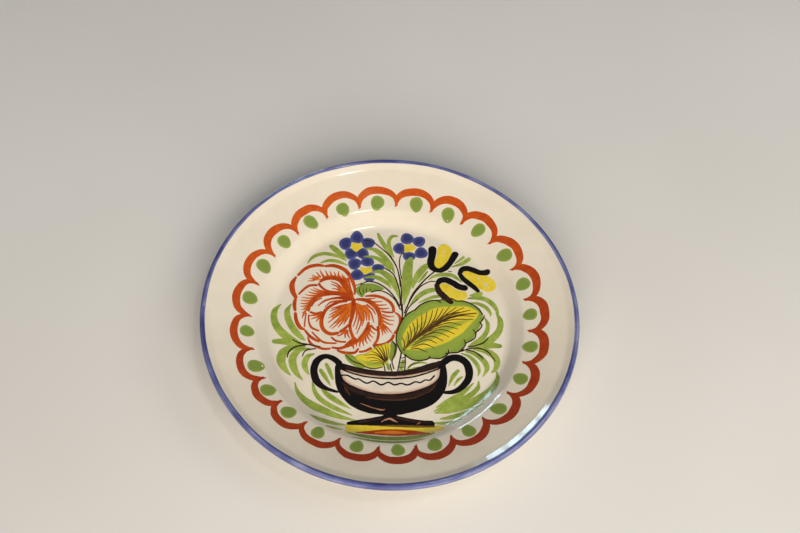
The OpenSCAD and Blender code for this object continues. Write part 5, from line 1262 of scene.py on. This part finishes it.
painted("small_leaf_lines", BROWN, "brown_enamel", 4.5, (), SMALL_LEAF_STROKES, (0.7, 0.3))
painted("curled_leaf", LEAF_GREEN, "green_enamel", 3, [CURLED_SHAPE])
painted("curled_leaf_lines", BROWN, "brown_enamel", 4, (), CURLED_VEINS, (0.8, 0.8))
painted("stalks", GREEN, "green_enamel", 2, (), STALK_STROKES + SMALL_ARCS)
painted("stems", BROWN, "brown_enamel", 4, (), STEM_STROKES + PETAL_STEMS + STALK_LINES, (0.85, 0.75))

# ---------------------------------------------------------------- floor, camera and light, in metres
FLOOR_HALF = 3.0
WINDOW_PANES = (103, 107, 111, 115)  # turn of each pane round the plate, in degrees

floor_mesh = bpy.data.meshes.new("floor")
corners = [(x * FLOOR_HALF, y * FLOOR_HALF, 0) for x, y in ((-1, -1), (1, -1), (1, 1), (-1, 1))]
floor_mesh.from_pydata(corners, [], [(0, 1, 2, 3)])
floor = bpy.data.objects.new("floor", floor_mesh)
bpy.context.scene.collection.objects.link(floor)
floor.data.materials.append(paper_floor())

camera = bpy.data.objects.new("camera", bpy.data.cameras.new("camera"))
camera.data.sensor_width = 36
camera.data.lens = 55.95
right = Vector((0.99925, 0, 0.03879))
up = Vector((-0.02082, 0.84381, 0.53623))
back = Vector((-0.03273, -0.53664, 0.84318))
facing = Matrix((right, up, back)).transposed().to_4x4()
camera.matrix_world = Matrix.Translation((-0.02119, -0.41364, 0.73222)) @ facing
bpy.context.scene.collection.objects.link(camera)
bpy.context.scene.camera = camera


def softbox(name, direction, distance, size, power, colour, aim=(0, 0, 0.02)):
    """A rectangular soft light that faces the plate."""
    light = bpy.data.lights.new(name, "AREA")
    light.shape = "RECTANGLE"
    light.size, light.size_y = size
    light.energy = power
    light.color = colour
    lamp = bpy.data.objects.new(name, light)
    lamp.location = Vector(aim) + Vector(direction).normalized() * distance
    lamp.rotation_euler = (Vector(aim) - lamp.location).to_track_quat("-Z", "Y").to_euler()
    bpy.context.scene.collection.objects.link(lamp)
    return lamp


key = softbox("key", (0.05, -0.81, 0.587), 1.8, (2.0, 1.4), 44.5, (1.0, 0.92, 0.82))
side = softbox("side", (0.78, -0.05, 0.62), 1.3, (0.5, 0.5), 2.6, (1.0, 0.94, 0.84))
fill = softbox("fill", (0.42, 0.3, 0.86), 1.8, (2.0, 2.0), 5, (0.7, 0.84, 1.0))
for lamp in (key, side, fill):  # too large to be seen in the gloss
    lamp.visible_glossy = False
softbox("overhead", (0.2, -0.2, 0.95), 1.5, (0.17, 0.17), 1.6, (1.0, 0.95, 0.86))
for n, turn in enumerate(WINDOW_PANES):
    pane = softbox("window_%d" % n, (*polar(1, turn), 0.2), 1.4, (0.07, 0.32), 0.8, (0.62, 0.85, 1.0))
    pane.visible_diffuse = False

world = bpy.data.worlds.new("studio")
world.use_nodes = True
sky = world.node_tree.nodes["Background"].inputs
sky["Color"].default_value = (0.80, 0.88, 1.0, 1)
sky["Strength"].default_value = 0.08
bpy.context.scene.world = world
bpy.context.scene.view_settings.view_transform = "Standard"
